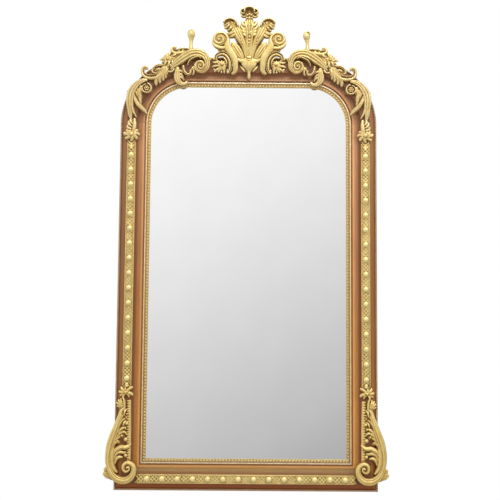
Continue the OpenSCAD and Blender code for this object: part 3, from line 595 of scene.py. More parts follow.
def gilding(name, tones, with_relief=False, lift=-0.24):
    """Gold leaf over brown bole on carved wood, burnished on the high points and toned with umber in
    the cuts, with painted shade from ambient occlusion in the cuts and between parts, so the ridges flash
    pale yellow and the hollows go brown."""
    light, middle, toned, deep_cut = (tint(key) for key in tones)
    material, tree, at = new_finish(name)
    # Painted shade: ambient occlusion darkens the leaf in the cuts and where parts meet
    occlusion_shade = add(tree, "ShaderNodeAmbientOcclusion", {"Distance": CUT_REACH}, samples=6).outputs["AO"]
    patches, rub = noise(tree, at, size_mm=26), noise(tree, at, size_mm=3.2, detail=3)
    factor = total_of(tree, lift, (patches, 0.4), (rub, 0.14), (calc(tree, "POWER", occlusion_shade, 1.5), 0.52))
    # The stored relief adds burnish on the ridges, and painted shade in the hollows and under curls
    if with_relief:
        rise = add(tree, "ShaderNodeAttribute", attribute_name="relief").outputs["Fac"]
        factor = total_of(tree, factor, spread(tree, rise, -0.7, 0.8, -0.34, 0.42))
    colour = graded(tree, factor, [(0.1, deep_cut), (0.28, toned), (0.5, middle), (0.85, light)])
    if with_relief:
        colour = painted_light_by_height(tree, at, colour, CARVED_HEIGHT_LIGHT)
    close_finish(tree, Base_Color=colour, Roughness=spread(tree, factor, 0.2, 0.9, 0.62, 0.33),
                 Metallic=spread(tree, factor, 0.15, 0.6, 0.15, 0.5), Normal=bumped(tree, rub, 0.35, 0.6))
    return material


def inset(tree, at):
    """How far a point lies inside the outer edge of the frame, as a share of the moulding's width. The
    upper corners are followed as quarter rings."""
    place_at = add(tree, "ShaderNodeSeparateXYZ", {"Vector": at})
    x, z = calc(tree, "ABSOLUTE", place_at.outputs["X"]), place_at.outputs["Z"]
    aside = calc(tree, "MAXIMUM", calc(tree, "SUBTRACT", x, CORNER_X * MM))
    above = calc(tree, "MAXIMUM", calc(tree, "SUBTRACT", z, (CORNER_Y + LOW_EDGE) * MM))
    squares = total_of(tree, calc(tree, "POWER", aside, 2.0), calc(tree, "POWER", above, 2.0))
    inwards = calc(tree, "SUBTRACT", CORNER_R * MM, calc(tree, "POWER", squares, 0.5))
    up_from_low = calc(tree, "SUBTRACT", z, LOW_EDGE * MM)
    return calc(tree, "DIVIDE", calc(tree, "MINIMUM", inwards, up_from_low), MOULDING_W * MM)


# Painted light and shade by rail: the foot's upward cove and ogee painted paler as lit from above, the head's
# ogee and the corners' ogee painted darker as painted shade, and the foot's outer band darkest as painted
# shade under it: what the outer band, the cove and the ogee are multiplied by
RAIL_LIGHT_AND_SHADE = {"foot": ((0.84, 0.56, 0.36), (1, 1.3, 1.6), (1, 1.15, 1.6)), "level": (1, 1.2, 0.66),
          "bent": (1, 1, 0.8), "upright": (1, 1, 1)}
GRAIN = {"upright": (1, 1, 0.06), "bent": (0.5, 1, 0.5), "level": (0.06, 1, 1), "foot": (0.06, 1, 1)}
# Painted light on the walnut by height: warmer and more saturated at the foot, paler high up
WALNUT_HEIGHT_LIGHT = ((0.0, (1.16, 1.1, 0.66)), (0.32, (1.16, 1.1, 0.78)), (0.55, (1.06, 1.04, 0.98)),
              (0.78, (1.22, 1.32, 1.5)), (0.92, (1.0, 1.0, 1.1)))
STAIN_ENDS = (-0.0014, -0.0006)   # from here to the wall the back was never stained


def walnut(name, grain):
    """Walnut moulding, stained and waxed to a satin: brown outside, darker in the cove and by the slip as
    painted shade, copper brown on the ogee with a painted highlight on it, and the grain along each
    length. Each rail and each height is painted lighter or darker as painted light."""
    material, tree, at = new_finish(name)
    edge, hollow, ogee = (np.array(by) for by in RAIL_LIGHT_AND_SHADE[grain])
    # Across the profile: painted shade in the cove beside the pearl band and in the quirk by the slip, and a
    # painted highlight on the ogee
    profile_colour_and_shade = ((SEAT_IN - 3, "walnut", edge), (SEAT_IN, "cove", 0.8), (SEAT_OUT + 2, "cove", 0.95 * hollow),
              (SEAT_OUT + 8, "cove", hollow), (SEAT_OUT + 16, "copper", 0.8 * hollow * ogee),
              (SEAT_OUT + 24, "copper", ogee), (SEAT_OUT + 31, "copper", 1.3 * ogee),
              (SLIP_IN - 5.5, "copper", 0.9 * ogee), (SLIP_IN - 4.5, "copper", 0.6), (SLIP_IN, "copper", 0.5))
    colour = graded(tree, inset(tree, at), [
        (d / MOULDING_W, [min(1, v) for v in np.array(tint(key)[:3]) * by] + [1]) for d, key, by in profile_colour_and_shade])
    colour = painted_light_by_height(tree, at, colour, WALNUT_HEIGHT_LIGHT)
    depth = add(tree, "ShaderNodeSeparateXYZ", {"Vector": at}).outputs["Y"]
    colour = add(tree, "ShaderNodeMixRGB", {"Fac": spread(tree, depth, *STAIN_ENDS), "Color1": colour,
                                            "Color2": linear("#6E4A28")}).outputs["Color"]
    fibres = add(tree, "ShaderNodeMapping", {"Vector": at, "Scale": GRAIN[grain]}).outputs["Vector"]
    figure = noise(tree, fibres, size_mm=7, detail=4, roughness=0.6)
    pores = noise(tree, fibres, size_mm=1.6)
    grain_tone = spread(tree, total_of(tree, figure, (pores, 0.35)), 0.45, 0.95, 0.86, 1.12)
    close_finish(tree, Base_Color=times(tree, colour, grain_tone), Roughness=spread(tree, pores, 0, 1, 0.42, 0.56),
                 Normal=bumped(tree, pores, 0.12, 0.4), Coat_Weight=0.08, Coat_Roughness=0.3, IOR=1.45)
    return material


# Painted light on the slip by height: darker at the foot, paler near the head
SLIP_HEIGHT_LIGHT = ((0.0, (0.78, 0.85, 1.15)), (0.07, (0.78, 0.85, 1.15)), (0.1, (0.93, 0.94, 1.03)),
            (0.75, (0.96, 0.99, 1.1)), (0.9, (1.1, 1.15, 1.4)), (0.94, (1.2, 1.27, 1.7)))


def slip_leaf(name):
    """The gilt slip beside the glass: a burnished fillet, then a matt ground of toned leaf that carries
    the running leaf pattern."""
    material, tree, at = new_finish(name)
    rub = noise(tree, at, size_mm=7, detail=3)
    colour = graded(tree, inset(tree, at), [((SLIP_IN + d) / MOULDING_W, tint(key)) for d, key in (
        (4.6, "#FFDFA0"), (6, "gold_toned"), (8, "#B68C50"), (17, "#B68C50"), (18.5, "gold"))])
    colour = painted_light_by_height(tree, at, times(tree, colour, spread(tree, rub, 0.3, 0.7, 0.8, 1.16)), SLIP_HEIGHT_LIGHT)
    close_finish(tree, Base_Color=colour, Roughness=0.42, Metallic=0.3, Normal=bumped(tree, rub, 0.3, 0.5))
    return material


def pine(name, light, dark, grain):
    """Sawn pine left bare and darkened by age: straight pale grain with brown lines."""
    material, tree, at = new_finish(name)
    stretch = (0.05, 1, 1) if grain == "level" else (1, 1, 0.05)
    fibres = add(tree, "ShaderNodeMapping", {"Vector": at, "Scale": stretch}).outputs["Vector"]
    rings = noise(tree, fibres, size_mm=12, detail=4, roughness=0.55)
    saw = noise(tree, fibres, size_mm=1.2)
    colour = graded(tree, rings, [(0.3, linear(dark)), (0.5, linear(light)), (0.7, linear(dark))])
    close_finish(tree, Base_Color=colour, Roughness=0.75, Normal=bumped(tree, saw, 0.3, 0.5))
    return material


def mottled_metal(name, size_mm, dark, light, smoothest, roughest):
    """Plated or silvered metal: its tone and its polish vary a little together. Steel comes out a cool
    grey with faint mottling, and the glass a clear mirror with the faintest unevenness."""
    material, tree, at = new_finish(name)
    mottle = noise(tree, at, size_mm, detail=3)
    close_finish(tree, Base_Color=graded(tree, mottle, [(0.3, linear(dark)), (0.7, linear(light))]),
                 Roughness=spread(tree, mottle, 0, 1, smoothest, roughest), Metallic=1.0)
    return material


RECIPES = {
    # Bright ridges and brown hollows on the carving: burnish and bole, with painted shade in the hollows and
    # under curls
    "carved_gilding": (gilding, ("gold_light", "gold", "gold_toned", "bole"), True),
    # Paler leaf, with painted shade darkening the pits between the small ornaments of the bands
    "band_gilding": (gilding, ("#FCEBA9", "#F7DD91", "#B08640", "#5E401A"), False, -0.09),
    # Dull gold paint that stays behind the carving
    "board_gilding": (gilding, ("#C79F56", "#A37C36", "#6E4F20", "bole")),
    # Worn gold that catches the light as a fine dotted edge
    "rope_gilding": (gilding, ("#F8E8C4", "#DCBC88", "#94703E", "#6A4526"), False, 0.1),
    "slip_gilding": (slip_leaf,),
    # One walnut finish per rail, for its grain and for the painted light and shade of that rail
    **{f"walnut_{grain}": (walnut, grain) for grain in GRAIN},
    "aged_pine": (pine, "#8A6239", "#6A4725", "upright"),
    "bare_pine": (pine, "#C69C68", "#A2774A", "level"),
    "zinc_plate": (mottled_metal, 4, "#9C9C98", "#C9C9C4", 0.28, 0.5),
    "silvered_glass": (mottled_metal, 180, "#F9F9F9", "#FCFCFC", 0.0, 0.03),
}
FINISHES = {}


def finish(name):
    """The named finish, made on first use."""
    if name not in FINISHES:
        kind, *given = RECIPES[name]
        FINISHES[name] = kind(name, *given)
    return FINISHES[name]


def dress(finish_name, slot, *nodes):
    """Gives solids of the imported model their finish."""
    for node in nodes:
        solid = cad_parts[node]
        solid.data.materials.clear()
        solid.data.materials.append(finish(finish_name))


# Repeats along a line


def repeat_tree():
    """Geometry Nodes that set an item along a line at an even pitch, turned to follow it."""
    tree = bpy.data.node_groups.new("Repeat along a line", "GeometryNodeTree")
    for name, kind in (("Line", "Geometry"), ("Item", "Object"), ("Pitch", "Float"), ("Finish", "Material")):
        tree.interface.new_socket(name, in_out="INPUT", socket_type=f"NodeSocket{kind}")
    tree.interface.new_socket("Result", in_out="OUTPUT", socket_type="NodeSocketGeometry")
    given = add(tree, "NodeGroupInput").outputs
    curve = add(tree, "GeometryNodeMeshToCurve", {"Mesh": given["Line"]}).outputs[0]
    spaced = add(tree, "GeometryNodeResampleCurve", {"Curve": curve, "Length": given["Pitch"]}, mode="LENGTH")
    tangent = add(tree, "GeometryNodeInputTangent").outputs[0]
    turned = add(tree, "FunctionNodeAlignRotationToVector", {"Vector": tangent}, axis="X", pivot_axis="Y")
    item = add(tree, "GeometryNodeObjectInfo", {"Object": given["Item"]}).outputs["Geometry"]
    set_out = add(tree, "GeometryNodeInstanceOnPoints", {
        "Points": spaced.outputs[0], "Instance": item, "Rotation": turned.outputs[0]}).outputs[0]
    real = add(tree, "GeometryNodeRealizeInstances", {"Geometry": set_out}).outputs[0]
    gilt = add(tree, "GeometryNodeSetMaterial", {"Geometry": real, "Material": given["Finish"]}).outputs[0]
    add(tree, "NodeGroupOutput", {"Result": gilt})
    return tree


def repeated(name, lines, z, item, pitch_mm, material):
    """A plain mesh of one item set along the given lines, which run in elevation millimetres."""
    tree = bpy.data.node_groups.get("Repeat along a line") or repeat_tree()
    given = {"Item": item, "Pitch": pitch_mm * MM, "Finish": material}
    made = []
    for k, line in enumerate(lines):
        edges = [[i, i + 1] for i in range(len(line) - 1)]
        piece = place(f"{name}_{k}", to_mesh(name, [(*p, z) for p in line], [], 0.0, edges))
        modifier = piece.modifiers.new("Repeat", "NODES")
        modifier.node_group = tree
        for socket in tree.interface.items_tree:
            if socket.name in given:
                modifier[socket.identifier] = given[socket.name]
        made.append(applied(piece))
    if len(made) > 1:
        with bpy.context.temp_override(active_object=made[0], object=made[0], selected_objects=made,
                                       selected_editable_objects=made):
            bpy.ops.object.join()
    made[0].name = name
    return made[0]


def item_from(name, carving):
    """An item for repeats: x along the line, y across it and z out from the wall."""
    p = np.vstack(carving.points)
    mesh = bpy.data.meshes.new(name)
    mesh.from_pydata((np.stack([p[:, 0], -p[:, 2], p[:, 1]], 1) * MM).tolist(), [], carving.faces)
    return place(name, mesh)


CORNER_POINTS = 48   # points of a line round one upper corner


def round_line(d):
    """The line round the frame, d in from its edge: up the left side, over the top and down the right."""
    right = [side_at(d, d)] + [arc_at(angle, d) for angle in np.linspace(0, 90, CORNER_POINTS)]
    left = [p * [-1, 1] for p in right]
    return left + right[::-1] + [right[0], left[0]]


def round_frame(name, line, item, pitch, gilt, slot):
    """Sets an item round the whole frame along the named line."""
    d, z = line
    item = item_from(f"{name}_item", item)
    piece = repeated(name, [round_line(d)], z, item, pitch / MM, finish(gilt))
    finished(piece, finish(gilt), slot)
    bpy.data.objects.remove(item)


# Crest


def centre_plume():
    """The tall middle plume: a fluted stem with side lobes under a head that curls forwards."""
    wood = Carving()
    wood.sweep(top_at, ((0, -12), (0, 0), (0, 30), (0, 60), (0, 90), (0, 112), (0, 133), (0, 148), (0, 160)),
               (6, 11, 14, 16, 19, 22, 23, 19, 13), (9, 13, 17, 18, 18, 18, 17, 13, 9), fluted(5, 0.16), 43)
    for side in (-1, 1):
        def at(x, up):
            return top_at(side * x, up)

        wood.lobes(at, ((9, 82, 26, 107, 15), (10, 95, 30, 121, 16), (11, 108, 33, 134, 17),
                        (9, 121, 28, 149, 16)), 17, 0.16 * side, 5)
        wood.lobes(at, ((5, 104, 13, 151, 13),), 20, 0.08 * side, 8)
        wood.sweep(at, ((12, 176), (24, 179), (33, 185)), (9, 13, 7), (11, 11, 9), domed, 17, 4)
        wood.rim(at, ((19, 178), (27, 177), (34, 183), (34, 190), (26, 195), (18, 192)), 6, 15)
        wood.rim(at, ((13, 167), (22, 164), (31, 167), (31, 174), (23, 177)), 5, 13)
        # Painted shade in the side curls of the head
        wood.tone(at, (25, 187, 7, 0.6), (24, 171, 6, 0.5))
        wood.sweep(at, ((7, 38), (8.5, 66), (5, 100)), (2, 2.4, 1.6), (18, 19.5, 19), crowned, 9, 4)
    wood.lobes(top_at, ((0, 100, 0, 154, 16),), 21, 0, 8)
    wood.sweep(top_at, ((0, 146), (0, 158), (0, 168), (0, 180), (0, 191), (0, 199)), (13, 14, 21, 25, 22, 15),
               (10, 11, 11, 10, 11, 12), fluted(3, 0.2), 25)
    wood.rim(top_at, ((-20, 182), (-19, 193), (-11, 200), (0, 202), (11, 200), (19, 193),
                      (20, 182)), 8, 20, 4.2)
    wood.beads(top_at, 10, ((0, 160, 6), (-11, 160, 5), (11, 160, 5), (0, 176, 6), (-9, 172, 5),
                            (9, 172, 5)), 5)
    # Painted shade under the hood of the head
    wood.tone(top_at, (0, 194, 14, 0.9), (0, 180, 18, 0.4))
    wood.beads(top_at, 16, ((0, 92, 3.4), (0, 80, 4.4), (0, 66, 4.8), (0, 53, 4.2), (0, 43, 3)), 5.5, 6)
    # Painted shade round the row of beads on the stem
    wood.tone(top_at, (0, 70, 26, 0.25))
    wood.lobes(top_at, ((-2.7, -14, -9, 6.6, 9), (0, -14, 0, 12, 9), (2.7, -14, 9, 6.6, 9)), 20, 0, 2)
    return wood


def side_plume():
    """The plume that leans outwards, its lobed head and the smaller leaf at its foot."""
    wood = Carving()
    wood.sweep(top_at, ((10, -8), (17, 28), (23, 49), (33, 70), (43, 87), (50, 103), (58, 118), (66, 130)),
               (5, 10, 12, 15, 18, 20, 19, 15), (9, 14, 17, 18, 18, 17, 15, 12), fluted(4, 0.18), 37)
    wood.boss(top_at(83, 133), 21, 9, 14, 13)
    wood.boss(top_at(66, 131), 18, 10, 12, 14)
    wood.rim(top_at, ((47, 124), (51, 138), (61, 149), (74, 154), (88, 153), (99, 147),
                      (105, 138)), 6, 17, 4.4)
    wood.lobes(top_at, ((82, 140, 107, 133, 15), (80, 133, 104, 119, 15), (73, 124, 92, 107, 15),
                        (66, 114, 80, 99, 13)), 19, 0.14, 5)
    wood.lobes(top_at, ((58, 108, 94, 92, 20), (50, 97, 84, 82, 18)), 17, 0.1, 3)
    wood.lobes(top_at, ((60, 128, 66, 150, 11), (70, 130, 80, 151, 11)), 19, -0.1, 4)
    # Painted shade under the curls of the head and beside the stem
    wood.tone(top_at, (86, 144, 9, 0.8), (94, 129, 10, 0.55), (82, 116, 9, 0.45), (44, 84, 18, 0.3))
    wood.beads(top_at, 16, ((29, 52, 3.6), (32, 64, 4.2), (36, 76, 3.6)), 5.5, 6)
    wood.sweep(top_at, ((27, -10), (35, 5), (44, 20), (53, 34), (62, 47), (70, 60)), (8, 14.5, 17, 17, 13, 4),
               (8, 11, 12, 12, 11, 9), fluted(3, 0.24), 31)
    wood.lobes(top_at, ((50, 12, 63, 20, 11), (60, 26, 72, 36, 11)), 11, -0.1)
    # Painted shade in the hollow of the small leaf
    wood.tone(top_at, (55, 34, 20, 0.4))
    return wood


def volute():
    """A stem that rises into a coil round a boss, with two short scrolls beside it."""
    wood, eye = Carving(), top_at(*VOLUTE_EYE)
    wood.sweep(top_at, ((71, -73), (61, -67), (56, -55), (56, -41), (57, -22), (62, -4), (72, 13), (84, 30),
                        (89, 47), (87, 62), (87, 74)), (4, 9, 11.5, 12, 13.5, 15.5, 15.5, 17, 14, 8, 6.5),
               (11, 14, 16, 18, 19, 20, 20, 20, 20, 20, 19), domed, 29)
    turn = coil(eye, (33, 26, 21.5, 17, 14, 10, 7, 4), 176, -450, 26)
    wood.band(smooth_line([top_at(87, 50), *turn], 4), [6] + [7.6] * 10 + taper(7.4, 3.4, 16),
              [20] * 8 + taper(19, 22, 19), crowned, 17)
    wood.boss(eye, 27, 15, 14, 17)
    wood.bead((*eye, 15), 4.6, 8)
    wood.sweep(top_at, ((82, 32), (100, 34), (118, 34), (135, 41), (146, 54), (148, 66)),
               (8, 8.5, 7.5, 7, 6, 3), (18, 18, 17, 16, 14, 10), domed, 17)
    wood.sweep(top_at, ((78, 14), (97, 17), (111, 23), (122, 27), (128, 24)), (7, 7, 6, 5, 3),
               (17, 16, 15, 13, 10), lipped(1), 17)
    return wood


def c_scroll():
    """The C beside the volute, with a raised lip, an inner rib and a berry at its foot."""
    wood = Carving()
    wood.sweep(top_at, ((124, -20), (131, -18), (136, -10), (133, 0), (125, 6), (113, 10), (99, 8), (88, 0),
                        (80, -12), (76, -25), (75, -41), (77, -57), (84, -70)),
               (3, 4.5, 5.5, 6.5, 7.5, 8, 8.4, 8.6, 8.6, 8.6, 8.4, 7.4, 4.5),
               (10, 12, 14, 17, 19, 20, 20, 20, 20, 20, 19, 17, 12), lipped(1), 27)
    wood.sweep(top_at, ((118, -5), (104, -6), (95, -15), (91, -28), (90, -40)), (2, 4, 4.5, 4, 1.5),
               (8, 13, 14, 13, 8), crowned, 11)
    wood.beads(top_at, 4, ((86, -67, 6),), 9)
    return wood


def crest_flower():
    """An open flower in the mouth of the C, with leaves and berries round it."""
    wood, middle = Carving(), top_at(*FLOWER_AT)
    wood.petals(middle, ((20, 24), (52, 22), (88, 20), (128, 20), (165, 20), (205, 21), (235, 24), (256, 38),
                         (278, 28), (300, 36), (322, 26), (352, 38)), 12, 12, 0.06, 4)
    wood.petals(middle, [(angle + 12, 13) for angle in range(0, 360, 60)], 10, 17, 0, 3)
    wood.bead((*middle, 14), 5, 5)
    wood.lobes(top_at, ((124, -24, 150, -20, 13),), 12, 0.15)
    wood.lobes(top_at, ((124, -42, 152, -46, 14),), 11, -0.1)
    wood.lobes(top_at, ((122, -50, 144, -64, 13),), 11)
    wood.sweep(top_at, ((138, -15), (143, -13), (151, -8), (157, -13), (156, -20)), (3, 5, 5.5, 5, 3),
               (9, 12, 13, 12, 9), crowned, 11, 4)
    wood.beads(top_at, 4, ((142, -54, 4.5), (88, -58, 4.5), (112, -66, 4.5)))
    return wood


def shield():
    """The pointed swelling in the middle of the top rail, framed by small leaves."""
    wood = Carving()
    wood.sweep(top_at, ((0, -10), (0, -14), (0, -22), (0, -38), (0, -47), (0, -57), (0, -67)),
               (35, 38, 36, 29, 23, 14, 5), (11, 14, 16, 17, 16, 13, 10), shielded, 35)
    for side in (-1, 1):
        def at(x, up):
            return top_at(side * x, up)

        wood.lobes(at, ((15, -64, 37, -38, 11),), 9)
        wood.sweep(at, ((22, -21), (36, -19), (50, -10)), (9, 8, 6), (14, 14, 14), domed, 13, 4)
        wood.lobes(at, ((8, -20, 25, -8, 12),), 16, -0.1 * side, 2)
        wood.lobes(at, ((3, -22, 9, -4, 9),), 18, 0, 2)
    wood.lobes(top_at, ((0, -36, 0, -4, 11),), 18, 0, 2)
    wood.beads(top_at, 15, ((0, -17, 4.6),), 5)
    return wood


def drop():
    """The bud that hangs under the shield."""
    wood = Carving()
    wood.sweep(top_at, ((0, -62), (0, -68), (0, -76), (0, -86), (0, -92), (0, -95)),
               (8, 6.6, 7.2, 7, 5.4, 2.5), (10, 11, 11, 10, 8, 5), crowned, 15)
    wood.band(placed(top_at, ((-8, -67), (8, -67))), 1.8, 12, crowned, 7)
    return wood


class Piece:
    """Shared by all operators of this file."""
    bl_options = {"REGISTER", "UNDO"}


class MIRROR_OT_crest(Piece, bpy.types.Operator):
    """Carve the plumes, volutes, C scrolls, flowers, shield and drop of the crest"""
    bl_idname = "mirror.crest"
    bl_label = "Crest"

    def execute(self, context):
        carved("carved_plume_center", centre_plume(), "crest_plume_center")
        for name, side in SIDES:
            carve_side(name, side, ("plume", side_plume(), "crest_plume"),
                       ("volute", volute(), "crest_volute"), ("c_scroll", c_scroll(), "crest_c_scroll"),
                       ("flower", crest_flower(), "crest_flower"))
        carved("carved_shield", shield(), "crest_shield")
        carved("carved_drop", drop(), "crest_drop")
        return {"FINISHED"}


# Wings over the top rail


def wing_scroll():
    """The long scroll over the shoulder, its coil and the crook and leaves on its back."""
    wood, eye = Carving(), wing_at(*WING_EYE)
    wood.sweep(wing_at, ((71, -47), (55, -33), (35, -17), (13, -2), (-9, 9), (-33, 12), (-54, 6), (-69, -9),
                         (-75, -30), (-72, -50), (-57, -64), (-40, -63), (-29, -53), (-26, -40), (-33, -28),
                         (-46, -24), (-57, -30), (-60, -42), (-54, -53), (-45, -54), (-39, -47), (-41, -38),
                         (-48, -37)),
               (10, 15, 19, 20, 20, 19, 17, 14, 11.5, 10.5, 9, 7.5, 6.6, 6, 5.6, 5.4, 5, 4.6, 4.2, 3.8,
                3.4, 3, 2.2),
               (12, 16, 19, 21, 22, 22, 21, 20, 19, 18, 18, 18, 18, 18, 18, 19, 19, 20, 20, 21, 21, 22,
                20), ribbed, 41)
    wood.boss(eye, 24, 12, 12, 15)
    wood.bead((*eye, 13), 4.6, 9)
    wood.sweep(wing_at, ((6, -40), (3, -28), (-6, -17), (-21, -9), (-37, -5), (-50, -11)),
               (2.4, 3.4, 4, 4, 3.6, 2), (12, 18, 22, 23, 22, 14), crowned, 9)
    wood.sweep(wing_at, ((-12, 20), (10, 20), (30, 17), (48, 14), (62, 17), (69, 26), (63, 35), (53, 33)),
               (6, 12, 14, 13, 11, 8.5, 6.5, 4.5), (13, 18, 19, 18, 16, 15, 14, 12), lipped(-1), 21)
    wood.sweep(wing_at, ((10, 4), (36, -2), (60, -8), (80, -12)), (12, 17, 19, 14),
               (9, 10, 10, 9), domed, 19, 4)
    wood.lobes(wing_at, ((44, 14, 28, 33, 16), (30, 15, 12, 30, 14), (52, 8, 78, 2, 15),
                         (30, -4, 72, -16, 13)), 16, 0.14, 3)
    return wood


def wing_leaf():
    """The leaves that hang from the wing scroll, and a small curl beside them."""
    wood = Carving()
    wood.sweep(wing_at, ((47, -46), (47, -64), (48, -82), (46, -98), (38, -110), (25, -117), (13, -113),
                         (7, -104)), (6, 11, 14, 14, 11.5, 9, 6.5, 3), (12, 15, 16, 16, 15, 14, 12, 10),
               fluted(3, 0.2), 29, 6)
    wood.lobes(wing_at, ((42, -60, 27, -76, 13), (42, -74, 24, -93, 13),
                         (40, -86, 22, -105, 13)), 15, 0.15, 2)
    wood.sweep(wing_at, ((24, -38), (23, -52), (19, -65), (9, -75), (-2, -75), (-7, -66), (-4, -57)),
               (4.5, 5.5, 6, 6, 5.5, 4.6, 3), (10, 14, 15, 15, 14, 13, 11), lipped(-1), 17, 6)
    wood.sweep(wing_at, ((62, -50), (66, -60), (76, -65), (87, -60), (90, -49), (84, -40), (74, -41),
                         (70, -49), (75, -55)), (6, 6, 6, 6, 5.6, 5, 4.4, 4, 3),
               (10, 13, 14, 15, 15, 15, 15, 14, 13), lipped(-1), 17)
    wood.lobes(wing_at, ((-18, -42, -14, -79, 12), (-14, -44, -6, -64, 10),
                         (60, -46, 72, -34, 12)), 12, 0.1, 3)
    return wood


# Turned profiles of the finials: radius and height
STEM = ((0, 0), (9, 0), (9, 12), (13.5, 17), (13.5, 20), (10, 25), (8, 32), (6.8, 42), (7.2, 54), (8, 60))
BUD = ((0, 0), (7.6, 2), (8.6, 8), (11, 15), (13.6, 21), (15.2, 28), (14.6, 36), (12, 42), (7, 46.5),
       (0, 48.5))
KNOB = ((0, 0), (7.6, 2), (9, 9), (12, 17), (14.6, 25), (13.6, 35), (8, 44), (0, 47.5))


def finial(head):
    """A turned stem with a ribbed bud, or with a bud and a small crook beside it."""
    wood = Carving()
    wood.lathe((*wing_at(-6, 8), -2), (0, 1, 0), STEM)
    if head == "bud":
        wood.lathe((*wing_at(-6.5, 64), -2), (0, 1, 0), BUD)
        for angle in range(15, 360, 60):
            a = math.radians(angle)
            rib = [(*wing_at(-6.5 + r * math.cos(a), up), -2 + r * math.sin(a))
                   for r, up in ((8, 70), (12, 82), (14.6, 91), (13.4, 102), (9, 109))]
            for p in smooth_line(rib):
                wood.bead(p, 1.7, rows=3)
        # Painted shade over the top of the bud
        wood.tone(wing_at, (-6.5, 112, 12, 1.4))
    else:
        wood.lathe((*wing_at(-6.5, 62), -2), (-0.12, 1, 0), KNOB)
        wood.sweep(wing_at, ((-14, 78), (-17, 92), (-11, 104), (0, 104), (3, 96)), (4, 4.5, 4.5, 4, 2.5),
                   (11, 11, 11, 10, 9), crowned, 9)
    return wood


class MIRROR_OT_wings(Piece, bpy.types.Operator):
    """Carve the wing scrolls, their hanging leaves and the two finials"""
    bl_idname = "mirror.wings"
    bl_label = "Wings"

    def execute(self, context):
        for name, side in SIDES:
            head = finial("bud" if name == "left" else "crook")
            carve_side(name, side, ("wing_scroll", wing_scroll(), "wing_scroll"),
                       ("wing_leaf", wing_leaf(), "wing_leaf"), ("finial", head, "wing_finial"))
        return {"FINISHED"}


# Shoulders and corners


def shoulder_spray():
    """A hooked leaf, a second curl and a flower on the rounded corner."""
    wood = Carving()
    wood.sweep(arc_at, ((70, 22), (64, 34), (59.5, 43), (55.5, 46), (52.3, 41), (49.4, 32), (47.4, 20),
                        (47, 6), (48.2, -6), (50.1, -14), (52, -14), (52.7, -8), (51.6, -4)),
               (7, 10, 11.5, 12.5, 12, 11, 10, 9, 8.5, 8.4, 8, 7, 5),
               (13, 16, 17, 18, 18, 17, 16, 16, 15, 15, 15, 14, 13), lipped(-1), 25)
    wood.sweep(arc_at, ((70, 22), (64, 44), (60, 58)), (12, 19, 12), (10, 11, 9), domed, 19, 4)
    wood.lobes(arc_at, ((64, 34, 49, 74, 22), (65, 36, 54, 77, 20), (67, 36, 59, 76, 20),
                        (69, 34, 63, 72, 18), (68, 26, 57, 60, 20), (63, 28, 56, 24, 15)), 15, -0.12, 4)
    wood.sweep(arc_at, ((66, 16), (62.5, 8), (58.8, 7), (55.8, 13), (55, 23), (57.2, 30), (60.3, 29),
                        (61.2, 22), (59.4, 18)), (6, 6, 6, 5.6, 5.2, 5, 4.6, 4, 2.6),
               (12, 14, 15, 15, 15, 15, 14, 14, 13), lipped(1), 17)
    flower = arc_at(*SPRAY_FLOWER_AT)
    wood.petals(flower, [(12 + 40 * k, 23 if k % 2 else 27) for k in range(9)], 17, 16, 0.1, 5)
    wood.petals(flower, [(72 * k, 13) for k in range(5)], 10, 21, 0, 3)
    wood.bead((*flower, 16), 4.4, 5)
    # Painted shade round the flower
    wood.tone(arc_at, (*SPRAY_FLOWER_AT, 30, 0.3))
    wood.lobes(arc_at, ((72, 8, 68, 34, 16), (75, 10, 72, 36, 15), (70, 4, 65.5, 18, 14),
                        (73, -6, 76.5, -24, 12)), 17, 0.14)
    wood.beads(arc_at, 6, ((67, 2, 5), (66, -9, 5), (78, 8, 5)))
    return wood


def corner_leaf():
    """The long leaf that climbs the corner and curls round the rosette."""
    wood = Carving()
    run = placed(corner_at, ((43, 14), (41, 37), (40, 58))) + placed(arc_at, (
        (16, 30), (20, 23), (24, 17), (28.5, 13), (33, 12), (38, 15), (43, 24), (46, 34)))
    wood.band(smooth_line(run), (4, 10, 13.5, 15, 16, 16.5, 16.5, 15.5, 13.5, 10, 5),
              (9, 12, 14, 16, 18, 19, 19, 19, 18, 16, 12), fluted(3, 0.2), 33)
    ring = coil(arc_at(*ROSETTE_AT), (19.5, 19, 19, 18.5, 18, 17.5), 96, 442, 18)
    wood.band(smooth_line(ring, 4), taper(4.6, 3, 18), [15] * 12 + taper(15, 12, 6), crowned, 13)
    wood.sweep(arc_at, ((27, 26), (23, 42), (19.6, 60), (17.3, 77), (15, 92), (11.9, 104)),
               (7, 10, 11, 10, 8, 2), (15, 17, 17, 15, 12, 8), veined, 17)
    wood.sweep(arc_at, ((38, 32), (32.6, 38), (29, 49), (25.2, 58), (21.1, 69)), (6, 10, 10, 8, 2.5),
               (14, 16, 16, 14, 9), veined, 17)
    wood.sweep(corner_at, ((45, 84), (48, 66), (52, 48), (58, 34), (66, 20)), (4, 6, 6, 5, 2),
               (14, 15, 14, 12, 8), veined, 17)
    wood.sweep(corner_at, ((35, 78), (33, 60), (34, 40), (37, 22)), (3, 5, 5, 2), (13, 14, 13, 9), veined, 17)
    wood.lobes(arc_at, ((34, 24, 27, 47, 20), (31, 20, 24.5, 52, 18), (36, 30, 31, 50, 16),
                        (34, 10, 27, -7, 9), (40, 12, 34, -4, 8)), 15, 0.1, 2)
    return wood


def rosette():
    """Six round petals and a middle on a turned disc."""
    wood, middle = Carving(), arc_at(*ROSETTE_AT)
    wood.lathe((*middle, 0), (0, 0, 1), [(0, 0), (15, 0), (15, 4), (12, 6), (9, 5), (5, 6), (0, 7)])
    for angle in range(0, 360, 60):
        wood.bead((*out_from(middle, angle, 8.4), 5), 4.4, 6)
    wood.bead((*middle, 6), 4.4, 7)
    return wood


